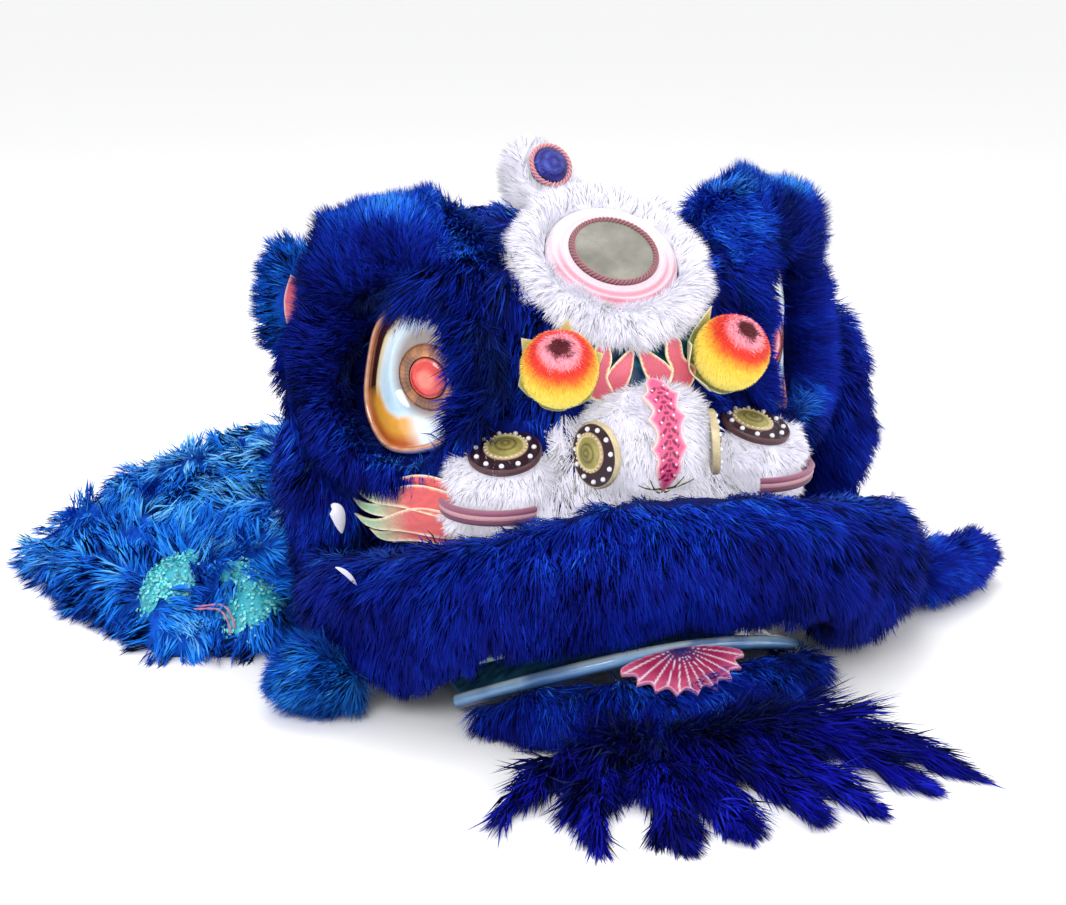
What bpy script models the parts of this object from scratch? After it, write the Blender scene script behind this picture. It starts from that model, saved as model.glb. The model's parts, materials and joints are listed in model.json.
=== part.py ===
"""Lion dance head resting on the floor, with its hinged lower jaw and its fur-cloth body heaped beside it.

Metres, +Z up. The lion faces -Y, and +X is on the right of someone who looks it in the face.
Pieces are modelled about the middle of the head's base, then the whole is moved so that the
bottom centre of its bounding box is the origin.
"""

import math
from collections import namedtuple

import bmesh
import bpy
from mathutils import Matrix, Vector

GAP = 0.0003  # between neighbouring pieces
SIDES = {"left": -1, "right": 1}
FORMS = {}  # by name, what makes the plain outer form that neighbours are cut clear of

# The head's hard shell
SHELL_WALL = 0.006
SHELL_TURNS = 20  # facets round the shell
MOUTH_HALF_WIDTH = 0.212
MOUTH_HEIGHT = 0.132  # of the arch cut in the shell's front

Section = namedtuple("Section", "height half_width front back widest squareness")
HEAD_SECTIONS = [
    Section(0.000, 0.218, -0.222, 0.240, 0.03, 2.3),
    Section(0.135, 0.264, -0.268, 0.258, 0.04, 2.4),
    Section(0.200, 0.278, -0.274, 0.260, 0.05, 2.3),
    Section(0.265, 0.284, -0.262, 0.260, 0.05, 2.1),
    Section(0.330, 0.284, -0.240, 0.256, 0.05, 1.9),
    Section(0.390, 0.272, -0.224, 0.240, 0.04, 1.8),
    Section(0.435, 0.244, -0.206, 0.212, 0.03, 1.9),
    Section(0.470, 0.196, -0.172, 0.168, 0.01, 2.0),
    Section(0.496, 0.130, -0.112, 0.108, 0.00, 2.0),
    Section(0.508, 0.060, -0.050, 0.052, 0.00, 2.0),
]

# Brow bulges of the shell: where their middle is, how far they stand out and how far they spread
BROW_TURN = math.radians(47)
BROW_HEIGHT = 0.425
BROW_LIFT = 0.034
BROW_TURN_SPREAD = math.radians(30)
BROW_HEIGHT_SPREAD = 0.055

# Eyes, laid on the shell: across is towards the nose, up is up the shell
EYE_TURN = math.radians(54)
EYE_HEIGHT = 0.360
EyePoint = namedtuple("EyePoint", "across up")
EYE_OUTLINE = [
    EyePoint(0.020, 0.090),
    EyePoint(-0.020, 0.066),
    EyePoint(-0.046, 0.030),
    EyePoint(-0.060, -0.022),
    EyePoint(-0.054, -0.062),
    EyePoint(-0.028, -0.086),
    EyePoint(0.020, -0.082),
    EyePoint(0.066, -0.058),
    EyePoint(0.086, 0.004),
    EyePoint(0.064, 0.058),
]
EYE_RIM = 0.008  # width of the raised rim
EYE_STAND = 0.025  # how far the eye reaches out from the shell
IRIS_ACROSS = 0.037
IRIS_RING_RADIUS = 0.039
IRIS_RADIUS = 0.022

# Ornament on the forehead, on an axis that leans forward
FOREHEAD_FOOT = Vector((0.0, -0.150, 0.470))
FOREHEAD_LEAN = math.radians(55)  # of its axis above the horizontal
FOREHEAD_DISC_RADIUS = 0.078
FOREHEAD_DISC_HEIGHT = 0.034
MIRROR_RADIUS = 0.045
MIRROR_RIM_WIDTH = 0.007

# Horn
HORN_CENTRE = Vector((-0.006, 0.062, 0.546))
HORN_RADIUS = 0.040
HORN_CAP_RADIUS = 0.023
HORN_CAP_LEAN = math.radians(30)

# Pompoms on their posts
POMPOM_RADIUS = 0.0445
POMPOM_CENTRE = Vector((0.102, -0.266, 0.395))
POST_RADIUS = 0.005

# Lower jaw and its hinge
HINGE = Vector((0.0, -0.045, 0.105))
JAW_HALF_WIDTH = 0.208
JAW_FRONT = -0.352
JAW_CORNER_FRONT = -0.245
JAW_BACK = -0.150
JAW_TOP = 0.094  # of the board's middle at the front
JAW_CORNER_TOP = 0.017
JAW_THICK = 0.007
JAW_RIM_RADIUS = 0.0075
PIN_RADIUS = 0.006
PIN_HOLE_RADIUS = 0.0066
PIN_WALL = 0.244  # the middle of the shell's wall at the hinge
PIN_REACH = 0.060  # length of the pin inwards from there

RollPoint = namedtuple("RollPoint", "x y z across tall")
LIP = [
    RollPoint(-0.312, -0.058, 0.096, 0.052, 0.066),
    RollPoint(-0.304, -0.122, 0.100, 0.068, 0.084),
    RollPoint(-0.276, -0.198, 0.112, 0.077, 0.088),
    RollPoint(-0.226, -0.264, 0.138, 0.079, 0.087),
    RollPoint(-0.160, -0.314, 0.168, 0.077, 0.083),
    RollPoint(-0.082, -0.340, 0.190, 0.075, 0.081),
    RollPoint(0.000, -0.345, 0.196, 0.074, 0.080),
    RollPoint(0.088, -0.340, 0.188, 0.075, 0.082),
    RollPoint(0.172, -0.316, 0.160, 0.079, 0.088),
    RollPoint(0.250, -0.270, 0.124, 0.084, 0.094),
    RollPoint(0.318, -0.208, 0.098, 0.084, 0.094),
    RollPoint(0.362, -0.134, 0.086, 0.074, 0.088),
    RollPoint(0.374, -0.062, 0.082, 0.054, 0.070),
]
BROW_LOOP = [
    RollPoint(0.304, -0.056, 0.320, 0.042, 0.042),
    RollPoint(0.286, -0.034, 0.414, 0.056, 0.056),
    RollPoint(0.246, -0.044, 0.474, 0.080, 0.080),
    RollPoint(0.194, -0.082, 0.482, 0.084, 0.084),
    RollPoint(0.152, -0.124, 0.450, 0.072, 0.070),
    RollPoint(0.142, -0.160, 0.392, 0.056, 0.052),
    RollPoint(0.156, -0.176, 0.326, 0.042, 0.040),
    RollPoint(0.200, -0.164, 0.276, 0.034, 0.034),
    RollPoint(0.246, -0.136, 0.254, 0.034, 0.034),
    RollPoint(0.286, -0.094, 0.266, 0.036, 0.036),
]
CHEEK = [
    RollPoint(0.288, 0.020, 0.420, 0.050, 0.040),
    RollPoint(0.312, -0.010, 0.350, 0.062, 0.050),
    RollPoint(0.320, -0.030, 0.275, 0.068, 0.056),
    RollPoint(0.322, -0.036, 0.200, 0.066, 0.058),
    RollPoint(0.310, -0.010, 0.120, 0.058, 0.060),
    RollPoint(0.292, 0.020, 0.060, 0.046, 0.055),
]
CHEEK_SPREAD = {"left": -0.020, "right": 0.040}  # how much wider the side fur lies low down
JAW_FUR_HALF = [
    RollPoint(0.000, -0.392, 0.034, 0.044, 0.040),
    RollPoint(0.064, -0.386, 0.038, 0.044, 0.044),
    RollPoint(0.130, -0.357, 0.033, 0.042, 0.038),
    RollPoint(0.184, -0.312, 0.025, 0.036, 0.027),
    RollPoint(0.212, -0.278, 0.020, 0.025, 0.018),
]
TUFTS = {
    "left": [
        RollPoint(-0.318, -0.190, 0.050, 0.046, 0.042),
        RollPoint(-0.348, -0.196, 0.046, 0.050, 0.044),
        RollPoint(-0.382, -0.178, 0.040, 0.040, 0.037),
        RollPoint(-0.402, -0.160, 0.030, 0.020, 0.022),
    ],
    "right": [
        RollPoint(0.392, -0.150, 0.062, 0.046, 0.050),
        RollPoint(0.440, -0.158, 0.052, 0.044, 0.047),
        RollPoint(0.500, -0.142, 0.044, 0.040, 0.040),
        RollPoint(0.548, -0.112, 0.042, 0.030, 0.030),
        RollPoint(0.572, -0.098, 0.040, 0.014, 0.014),
    ],
}

# Beard strips on the floor: where each starts on the jaw fur, where its tip lies, and its half width
Strip = namedtuple("Strip", "start tip bend half_width")
BEARD_HEIGHT = 0.013
BEARD_STRIPS = [
    Strip((-0.112, -0.386), (-0.246, -0.490), 0.010, 0.018),
    Strip((-0.100, -0.400), (-0.176, -0.566), 0.006, 0.028),
    Strip((-0.060, -0.414), (-0.104, -0.598), -0.006, 0.034),
    Strip((-0.015, -0.418), (-0.034, -0.612), 0.006, 0.035),
    Strip((0.025, -0.418), (0.038, -0.606), -0.006, 0.033),
    Strip((0.065, -0.410), (0.112, -0.616), 0.010, 0.024),
    Strip((0.095, -0.396), (0.178, -0.606), -0.010, 0.018),
    Strip((0.116, -0.384), (0.238, -0.578), -0.014, 0.016),
]

# The heap of fur cloth: its outline on the floor, and how high it lies near each point
HeapPoint = namedtuple("HeapPoint", "x y height")
HEAP_OUTLINE = [
    HeapPoint(-0.650, 0.385, 0.050),
    HeapPoint(-0.622, 0.270, 0.085),
    HeapPoint(-0.598, 0.160, 0.090),
    HeapPoint(-0.560, 0.060, 0.090),
    HeapPoint(-0.480, 0.004, 0.095),
    HeapPoint(-0.390, -0.030, 0.100),
    HeapPoint(-0.310, 0.000, 0.120),
    HeapPoint(-0.236, 0.120, 0.130),
    HeapPoint(-0.150, 0.230, 0.130),
    HeapPoint(0.020, 0.262, 0.115),
    HeapPoint(0.140, 0.330, 0.090),
    HeapPoint(0.120, 0.450, 0.080),
    HeapPoint(-0.040, 0.540, 0.090),
    HeapPoint(-0.230, 0.580, 0.100),
    HeapPoint(-0.420, 0.560, 0.090),
    HeapPoint(-0.570, 0.480, 0.070),
]
HEAP_MIDDLE = Vector((-0.340, 0.290, 0.0))
HEAP_TOP = 0.165

# Base colours
NAVY = (0.010, 0.035, 0.260)
AZURE = (0.020, 0.200, 0.640)
ROYAL = (0.008, 0.012, 0.420)
WHITE = (0.80, 0.82, 0.90)
PINK = (0.78, 0.26, 0.34)
GOLD = (0.55, 0.24, 0.06)
PLUM = (0.055, 0.018, 0.030)


def clear_scene():
    for obj in list(bpy.data.objects):
        bpy.data.objects.remove(obj, do_unlink=True)


def material(name, colour, roughness=0.9, metallic=0.0):
    mat = bpy.data.materials.new(name)
    mat.use_nodes = True
    shader = mat.node_tree.nodes["Principled BSDF"]
    shader.inputs["Base Color"].default_value = (*colour, 1.0)
    shader.inputs["Roughness"].default_value = roughness
    shader.inputs["Metallic"].default_value = metallic
    return mat


def mesh_object(name, points, faces, colour=None, roughness=0.9, metallic=0.0):
    """A closed object from points and faces, facing out. Without a colour it is a hidden cutter."""
    mesh = bpy.data.meshes.new(name)
    mesh.from_pydata([tuple(p) for p in points], [], faces)
    shape = bmesh.new()
    shape.from_mesh(mesh)
    bmesh.ops.recalc_face_normals(shape, faces=shape.faces)
    if shape.calc_volume(signed=True) < 0:
        bmesh.ops.reverse_faces(shape, faces=shape.faces)
    bmesh.ops.triangulate(shape, faces=shape.faces)
    shape.to_mesh(mesh)
    shape.free()
    obj = bpy.data.objects.new(name, mesh)
    bpy.context.scene.collection.objects.link(obj)
    if colour is None:
        obj.hide_render = True
        obj.display_type = "WIRE"
    else:
        mesh.materials.append(material(name, colour, roughness, metallic))
        mesh.shade_smooth()
        mesh.set_sharp_from_angle(angle=math.radians(40))
    return obj


def evaluated_mesh(obj):
    bpy.context.view_layer.update()
    graph = bpy.context.evaluated_depsgraph_get()
    return bpy.data.meshes.new_from_object(obj.evaluated_get(graph))


def inflated(obj, by=GAP):
    """A hidden copy whose faces stand out by this much, to cut a neighbour with."""
    copy = bpy.data.objects.new(obj.name + "_cutter", obj.data.copy())
    copy.data.materials.clear()
    bpy.context.scene.collection.objects.link(copy)
    copy.hide_render = True
    copy.display_type = "WIRE"
    shape = bmesh.new()
    shape.from_mesh(copy.data)
    shape.normal_update()
    moved = [v.co + v.normal * by * min(v.calc_shell_factor(), 3.0) for v in shape.verts]
    for vert, place in zip(shape.verts, moved):
        vert.co = place
    shape.to_mesh(copy.data)
    shape.free()
    return copy


def add_hull_form(obj):
    """Lets neighbours be cut clear of the convex hull of this object."""

    def form():
        swollen = inflated(obj, 2 * GAP)
        points = [v.co.copy() for v in swollen.data.vertices]
        bpy.data.objects.remove(swollen, do_unlink=True)
        return hull_object(obj.name + "_form", points)

    FORMS[obj.name] = form
    return obj


def hull_object(name, points):
    """A hidden cutter that is the convex hull of the points."""
    shape = bmesh.new()
    for point in points:
        shape.verts.new(point)
    made = bmesh.ops.convex_hull(shape, input=shape.verts)
    faces = [f for f in made["geom"] if isinstance(f, bmesh.types.BMFace)]
    used = {v for f in faces for v in f.verts}
    order = {v: i for i, v in enumerate(used)}
    corners = [v.co.copy() for v in used]
    loops = [tuple(order[v] for v in f.verts) for f in faces]
    shape.free()
    return mesh_object(name, corners, loops)


def keep_largest(mesh):
    """Drops all but the largest connected piece."""
    shape = bmesh.new()
    shape.from_mesh(mesh)
    shape.verts.ensure_lookup_table()
    unseen = set(shape.verts)
    groups = []
    while unseen:
        start = unseen.pop()
        group = {start}
        edge_of_group = [start]
        while edge_of_group:
            vert = edge_of_group.pop()
            for edge in vert.link_edges:
                other = edge.other_vert(vert)
                if other in unseen:
                    unseen.discard(other)
                    group.add(other)
                    edge_of_group.append(other)
        groups.append(group)

    def area(group):
        faces = {face for vert in group for face in vert.link_faces}
        return sum(face.calc_area() for face in faces)

    groups.sort(key=area, reverse=True)
    for group in groups[1:]:
        bmesh.ops.delete(shape, geom=list(group), context="VERTS")
    shape.to_mesh(mesh)
    shape.free()


def is_closed(mesh):
    shape = bmesh.new()
    shape.from_mesh(mesh)
    closed = bool(shape.edges) and all(edge.is_manifold for edge in shape.edges)
    shape.free()
    return closed


def combine(obj, cutter, operation):
    """Applies one Boolean to the object and removes the cutter. Creased meshes take the second solver."""
    modifier = obj.modifiers.new("cut", "BOOLEAN")
    modifier.operation = operation
    modifier.object = cutter
    for solver in ("EXACT", "MANIFOLD"):
        modifier.solver = solver
        mesh = evaluated_mesh(obj)
        if is_closed(mesh):
            break
    obj.modifiers.remove(modifier)
    obj.data = mesh
    bpy.data.objects.remove(cutter, do_unlink=True)
    keep_largest(obj.data)


def boxes_meet(a, b):
    def box(obj):
        corners = [obj.matrix_world @ v.co for v in obj.data.vertices]
        return [(min(c[i] for c in corners), max(c[i] for c in corners)) for i in range(3)]

    pairs = zip(box(a), box(b))
    return all(first[0] < second[1] + GAP and second[0] < first[1] + GAP for first, second in pairs)


def seat(obj, *neighbours):
    """Cuts the object clear of each neighbour that it meets, by its plain outer form or else by the gap."""
    for other in neighbours:
        if boxes_meet(obj, other):
            cutter = FORMS[other.name]() if other.name in FORMS else inflated(other)
            combine(obj, cutter, "DIFFERENCE")
    return obj


def seat_close(obj, *neighbours):
    """Cuts the object clear of each neighbour's own surface, by the gap alone."""
    for other in neighbours:
        if boxes_meet(obj, other):
            combine(obj, inflated(other), "DIFFERENCE")
    return obj


def between(rows, place, closed=False):
    """Reads a smooth curve through the rows at place, from 0 to 1, as a tuple of their columns."""
    count = len(rows)
    along = place * (count if closed else count - 1)
    low = min(int(along), count - 1 if closed else count - 2)
    part = along - low

    def row(i):
        return rows[i % count] if closed else rows[max(0, min(count - 1, i))]

    before, first, second, after = (row(low + k) for k in (-1, 0, 1, 2))
    weights = (
        (-part + 2 * part**2 - part**3) / 2,
        (2 - 5 * part**2 + 3 * part**3) / 2,
        (part + 4 * part**2 - 3 * part**3) / 2,
        (-(part**2) + part**3) / 2,
    )
    columns = zip(before, first, second, after)
    return tuple(sum(w * value for w, value in zip(weights, column)) for column in columns)


def uneven(*indices):
    """A number from 0 to 1 that looks unordered and is the same each run."""
    value = math.sin(sum(i * k for i, k in zip(indices, (12.9898, 78.233, 37.719)))) * 43758.5453
    return value - math.floor(value)


def loft(rings, closed=False):
    """Points and faces through rings of equal count, with a fan on each open end."""
    sides = len(rings[0])
    points = [p for ring in rings for p in ring]
    faces = []
    spans = len(rings) if closed else len(rings) - 1
    for i in range(spans):
        for j in range(sides):
            here, there = i * sides, (i + 1) % len(rings) * sides
            after = (j + 1) % sides
            faces.append((here + j, here + after, there + after, there + j))
    if not closed:
        for base, ring in ((0, rings[0]), (len(points) - sides, rings[-1])):
            points.append(sum((Vector(p) for p in ring), Vector()) / sides)
            tip = len(points) - 1
            faces += [(base + j, base + (j + 1) % sides, tip) for j in range(sides)]
    return points, faces


def roll_rings(rows, count, sides, lock, inward, comb=None, closed=False, blunt=0.35):
    """Rings of a fur roll along a curve. Every other point stands out as the tip of a lock.

    inward is a point that the roll turns its back to, lock is how far the tips stand out as a
    share of the radius, and comb moves them.
    """
    rings = []
    spans = count if closed else count - 1
    comb = Vector(comb or (0, 0, 0))
    for i in range(count):
        place = i / spans
        x, y, z, across, tall = between(rows, place, closed)
        step = 0.25 / spans
        if closed:
            ahead = Vector(between(rows, (place + step) % 1.0, True)[:3])
            behind = Vector(between(rows, (place - step) % 1.0, True)[:3])
        else:
            ahead = Vector(between(rows, min(place + step, 1.0))[:3])
            behind = Vector(between(rows, max(place - step, 0.0))[:3])
            if i in (0, spans):
                across, tall = across * blunt, tall * blunt
        centre = Vector((x, y, z))
        forward = (ahead - behind).normalized()
        out = centre - Vector(inward)
        out = (out - forward * out.dot(forward)).normalized()
        side = forward.cross(out)
        ring = []
        for j in range(sides):
            angle = math.tau * j / sides
            tip = (i + j) % 2
            relief = lock * (0.35 + 0.65 * max(0.0, math.cos(angle)))
            reach = 1 - relief + tip * relief * (0.6 + 0.8 * uneven(i, j, sides))
            offset = out * math.cos(angle) * across + side * math.sin(angle) * tall
            ring.append(centre + offset * reach + comb * tip * relief * max(across, tall))
        rings.append(ring)
    return rings


def lengthened(row, after):
    """The end row of a roll, moved a little away from the row next to it."""
    away = Vector(row[:3]) - Vector(after[:3])
    x, y, z = Vector(row[:3]) + away.normalized() * 0.006
    return row._replace(x=x, y=y, z=z)


def fur_roll(name, rows, count, sides, colour, lock=0.16, inward=(0, 0, 0.25), comb=None, closed=False):
    rings = roll_rings(rows, count, sides, lock, inward, comb, closed)
    swell = (1 + lock * (0.4 + 0.8 * Vector(comb or (0, 0, 0)).length)) / math.cos(math.pi / 8)

    def form():
        fuller = [row._replace(across=row.across * swell, tall=row.tall * swell) for row in rows]
        if not closed:
            fuller[0] = lengthened(fuller[0], fuller[1])
            fuller[-1] = lengthened(fuller[-1], fuller[-2])
        smooth = roll_rings(fuller, count, 8, 0.0, inward, closed=closed)
        return mesh_object(name + "_form", *loft(smooth, closed))

    FORMS[name] = form
    return mesh_object(name, *loft(rings, closed), colour)


def fur_ball(name, centre, radii, colour, rings=8, sides=12, lock=0.14, turn=None, comb=(0, 0, 0)):
    """An ellipsoid with lock tips, turned by a matrix."""
    turn = turn or Matrix.Identity(3)
    levels = []
    for i in range(rings):
        polar = math.pi * (i + 0.6) / (rings + 0.2)
        level = []
        for j in range(sides):
            angle = math.tau * j / sides
            tip = (i + j) % 2
            reach = 1 - lock / 2 + tip * lock * (0.6 + 0.8 * uneven(i, j, 3))
            local = Vector((
                radii[0] * math.sin(polar) * math.cos(angle),
                radii[1] * math.sin(polar) * math.sin(angle),
                radii[2] * math.cos(polar),
            ))
            level.append(Vector(centre) + turn @ (local * reach) + Vector(comb) * tip)
        levels.append(level)

    def form():
        swell = (1 + 0.9 * lock) / math.cos(math.pi / 8)
        smooth = []
        for k in range(5):
            polar = math.pi * (k + 0.4) / 4.8
            flat, rise = math.sin(polar) * swell, math.cos(polar) * swell
            angles = [math.tau * j / 8 for j in range(8)]
            ring = [
                Vector((radii[0] * flat * math.cos(a), radii[1] * flat * math.sin(a), radii[2] * rise))
                for a in angles
            ]
            smooth.append([Vector(centre) + turn @ point for point in ring])
        return mesh_object(name + "_form", *loft(smooth))

    FORMS[name] = form
    return mesh_object(name, *loft(levels), colour)


def frame_towards(axis, up=(0, 0, 1)):
    """A 3 x 3 matrix whose columns are across, up and the axis."""
    axis = Vector(axis).normalized()
    across = Vector(up).cross(axis).normalized()
    return Matrix((across, axis.cross(across), axis)).transposed()


def turned(name, foot, axis, profile, sides, colour, roughness=0.5, metallic=0.0):
    """A turned solid: profile is (radius, height along the axis) pairs, from the bottom to the top.

    A profile that starts and ends on the axis makes a disc or a ball, and any other one makes a ring.
    """
    turn = frame_towards(axis)
    foot = Vector(foot)
    angles = [math.tau * j / sides for j in range(sides)]

    def rings(rows):
        return [
            [foot + turn @ Vector((radius * math.cos(a), radius * math.sin(a), height)) for a in angles]
            for radius, height in rows
        ]

    def form():
        widest = max(radius for radius, _ in profile) + GAP
        heights = [height for _, height in profile]
        ends = [(widest, min(heights) - GAP), (widest, max(heights) + GAP)]
        return mesh_object(name + "_form", *loft(rings(ends)))

    if colour:
        FORMS[name] = form
    solid = profile[0][0] == 0 and profile[-1][0] == 0
    rows = profile[1:-1] if solid else profile
    return mesh_object(name, *loft(rings(rows), closed=not solid), colour, roughness, metallic)


def plate(name, outline, thick, place, colour, roughness=0.5, bow=None):
    """A flat outline in local x and y, made this thick and set in place by a function of x, y and height."""
    bow = bow or (lambda x, y: 0.0)
    count = len(outline)
    low = [place(x, y, bow(x, y)) for x, y in outline]
    high = [place(x, y, bow(x, y) + thick) for x, y in outline]
    middle = (sum(x for x, _ in outline) / count, sum(y for _, y in outline) / count)
    points = low + high + [place(*middle, bow(*middle)), place(*middle, bow(*middle) + thick)]
    faces = []
    for i in range(count):
        after = (i + 1) % count
        faces.append((i, after, count + after, count + i))
        faces.append((after, i, 2 * count))
        faces.append((count + i, count + after, 2 * count + 1))
    return mesh_object(name, points, faces, colour, roughness)


def head_point(turn, height, lift=0.0):
    """A point of the head's outer surface. turn is 0 at the nose and grows towards +X."""
    heights = [s.height for s in HEAD_SECTIONS]
    height = max(heights[0], min(heights[-1], height))
    low = max(i for i in range(len(heights) - 1) if heights[i] <= height)
    part = (height - heights[low]) / (heights[low + 1] - heights[low])
    place = (low + part) / (len(heights) - 1)
    _, half_width, front, back, widest, squareness = between(HEAD_SECTIONS, place)

    def bulge(value):
        return math.copysign(abs(value) ** (2 / squareness), value)

    across, along = bulge(math.sin(turn)), bulge(math.cos(turn))
    depth = widest - front if along > 0 else back - widest
    point = Vector((half_width * across, widest - depth * along, height))
    off_turn = (abs(math.remainder(turn, math.tau)) - BROW_TURN) / BROW_TURN_SPREAD
    off_height = (height - BROW_HEIGHT) / BROW_HEIGHT_SPREAD
    brow = BROW_LIFT * math.exp(-(off_turn**2) - off_height**2)
    point += Vector((math.sin(turn), -math.cos(turn), 0.9)).normalized() * brow
    return point + head_normal(turn, height) * lift if lift else point


def head_normal(turn, height):
    step = 0.01
    round_it = head_point(turn + step, height) - head_point(turn - step, height)
    up_it = head_point(turn, height + step / 2) - head_point(turn, height - step / 2)
    return round_it.cross(up_it).normalized()


def head_rings(sections, inset=0.0):
    """Rings of the head's surface from the base up, drawn in by the wall where inset is given."""
    turns = [math.tau * j / SHELL_TURNS for j in range(SHELL_TURNS)]
    return [[head_point(t, section.height, -inset) for t in turns] for section in sections]


def make_shell():
    """The hollow dome and, as a hidden cutter, the solid that it encloses."""
    outer = head_rings(HEAD_SECTIONS)
    plug = mesh_object("head_plug", *loft(outer))
    shell = mesh_object("head_shell", *loft(outer), (0.03, 0.07, 0.30), 0.4)
    inner = head_rings(HEAD_SECTIONS[:-1], SHELL_WALL)
    below = [Vector((p.x, p.y, -0.05)) for p in inner[0]]
    for point in inner[0]:
        point.z = 0.0
    combine(shell, mesh_object("hollow", *loft([below] + inner)), "DIFFERENCE")

    arch = []
    steps = 8
    for y in (-0.40, -0.02):
        ring = []
        for k in range(steps + 1):
            angle = math.pi * k / steps
            rise = MOUTH_HEIGHT * math.sin(angle) ** 0.55
            ring.append(Vector((MOUTH_HALF_WIDTH * math.cos(angle), y, 0.004 + rise)))
        ring += [Vector((-MOUTH_HALF_WIDTH, y, -0.05)), Vector((MOUTH_HALF_WIDTH, y, -0.05))]
        arch.append(ring)
    combine(shell, mesh_object("mouth_arch", *loft(arch)), "DIFFERENCE")

    for sign in SIDES.values():
        wall = sign * PIN_WALL
        inner_end = sign * (PIN_WALL - PIN_REACH)
        ends = [(PIN_RADIUS, 0.0), (PIN_RADIUS, abs(wall - inner_end))]
        profile = [(0, 0.0), *ends, (0, abs(wall - inner_end))]
        foot = (inner_end, HINGE.y, HINGE.z)
        pin = turned("pin", foot, (sign, 0, 0), profile, 8, None)
        combine(shell, pin, "UNION")
    return shell, plug


def eye_place(sign):
    """A function that lays a point of the eye's own plane on the shell, with a lift off it."""
    step = 0.02
    length = (head_point(EYE_TURN + step, EYE_HEIGHT) - head_point(EYE_TURN, EYE_HEIGHT)).length / step

    def place(across, up, lift):
        point = head_point(EYE_TURN - across / length, EYE_HEIGHT + up, lift)
        return Vector((sign * point.x, point.y, point.z))

    return place


def make_eye(side, plug):
    sign = SIDES[side]
    place = eye_place(sign)
    count = 12
    outline = [between(EYE_OUTLINE, k / count, closed=True) for k in range(count)]
    middle = Vector((0.012, 0.0))

    def ring(share, lift):
        return [place(middle.x + (x - middle.x) * share, y * share, lift) for x, y in outline]

    inner = 1 - EYE_RIM / 0.07
    low = -0.004
    rim_rings = [ring(1.0, low), ring(1.0, 0.010), ring((1 + inner) / 2, 0.014)]
    rim_rings += [ring(inner, 0.010), ring(inner, low)]
    rim = mesh_object("eye_rim_" + side, *loft(rim_rings, closed=True), PINK, 0.5)
    seat(rim, plug)
    form_rings = [ring(1.05, -0.012), ring(1.05, 0.006)]
    form_rings += [ring(s, EYE_STAND) for s in (1.05, 0.85, 0.6, 0.2)]
    FORMS[rim.name] = lambda: mesh_object("eye_form", *loft(form_rings))

    centre = place(IRIS_ACROSS, 0.0, 0.012)
    axis = place(IRIS_ACROSS, 0.0, 0.04) - place(IRIS_ACROSS, 0.0, 0.0)
    wide = IRIS_RING_RADIUS
    narrow = IRIS_RADIUS + GAP
    profile = [(narrow, 0.0), (wide, 0.0), (wide - 0.002, 0.007), (narrow, 0.006)]
    iris_ring = turned("iris_ring_" + side, centre, axis, profile, 12, GOLD, 0.35, 0.6)
    dome = [(0, 0.0), (IRIS_RADIUS, 0.0), (IRIS_RADIUS * 0.9, 0.007)]
    dome += [(IRIS_RADIUS * 0.5, 0.0105), (0, 0.0115)]
    iris = turned("iris_" + side, centre, axis, dome, 12, (0.85, 0.10, 0.06), 0.1)

    rings = [ring(inner - GAP / 0.06, low)]
    rings += [ring(s, 0.006 + 0.013 * (1 - s * s)) for s in (inner - 0.005, 0.66, 0.3)]
    eyeball = mesh_object("eyeball_" + side, *loft(rings), (0.55, 0.72, 0.85), 0.15)
    seat(eyeball, plug)
    combine(eyeball, FORMS[iris_ring.name](), "DIFFERENCE")
    return [rim, eyeball, iris_ring, iris]


def make_forehead(plug):
    """Mirror in its rim on a raised disc, inside a ring of white fur."""
    axis = Vector((0, -math.cos(FOREHEAD_LEAN), math.sin(FOREHEAD_LEAN)))
    top = FOREHEAD_DISC_HEIGHT
    wide = FOREHEAD_DISC_RADIUS
    rim_wide = MIRROR_RADIUS + MIRROR_RIM_WIDTH
    seat_depth = 0.004
    disc_profile = [
        (0, -0.030), (wide - 0.012, -0.030), (wide, 0.010), (wide, 0.024), (wide - 0.006, top),
        (rim_wide + GAP, top), (rim_wide + GAP, top - seat_depth), (0, top - seat_depth),
    ]
    disc = turned("forehead_disc", FOREHEAD_FOOT, axis, disc_profile, 14, (0.80, 0.62, 0.68), 0.6)
    seat(disc, plug)
    low = top - seat_depth + GAP
    rim_profile = [(MIRROR_RADIUS + GAP, low), (rim_wide, low)]
    rim_profile += [(rim_wide, top + 0.004), (MIRROR_RADIUS + GAP, top + 0.004)]
    rim = turned("mirror_rim", FOREHEAD_FOOT, axis, rim_profile, 14, (0.28, 0.07, 0.09), 0.4)
    mirror_profile = [(0, low), (MIRROR_RADIUS, low), (MIRROR_RADIUS, top + 0.001), (0, top + 0.0025)]
    mirror = turned("mirror", FOREHEAD_FOOT, axis, mirror_profile, 14, (0.62, 0.62, 0.60), 0.08, 1.0)

    turn = frame_towards(axis)
    rows = []
    for k in range(12):
        angle = math.tau * k / 12
        place = FOREHEAD_FOOT + turn @ Vector((0.086 * math.cos(angle), 0.086 * math.sin(angle), 0.009))
        rows.append(RollPoint(*place, 0.027, 0.025))
    fur = fur_roll("forehead_fur", rows, 16, 6, WHITE, 0.18, FOREHEAD_FOOT, closed=True)
    seat(fur, plug, disc)
    return [disc, rim, mirror, fur]


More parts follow.
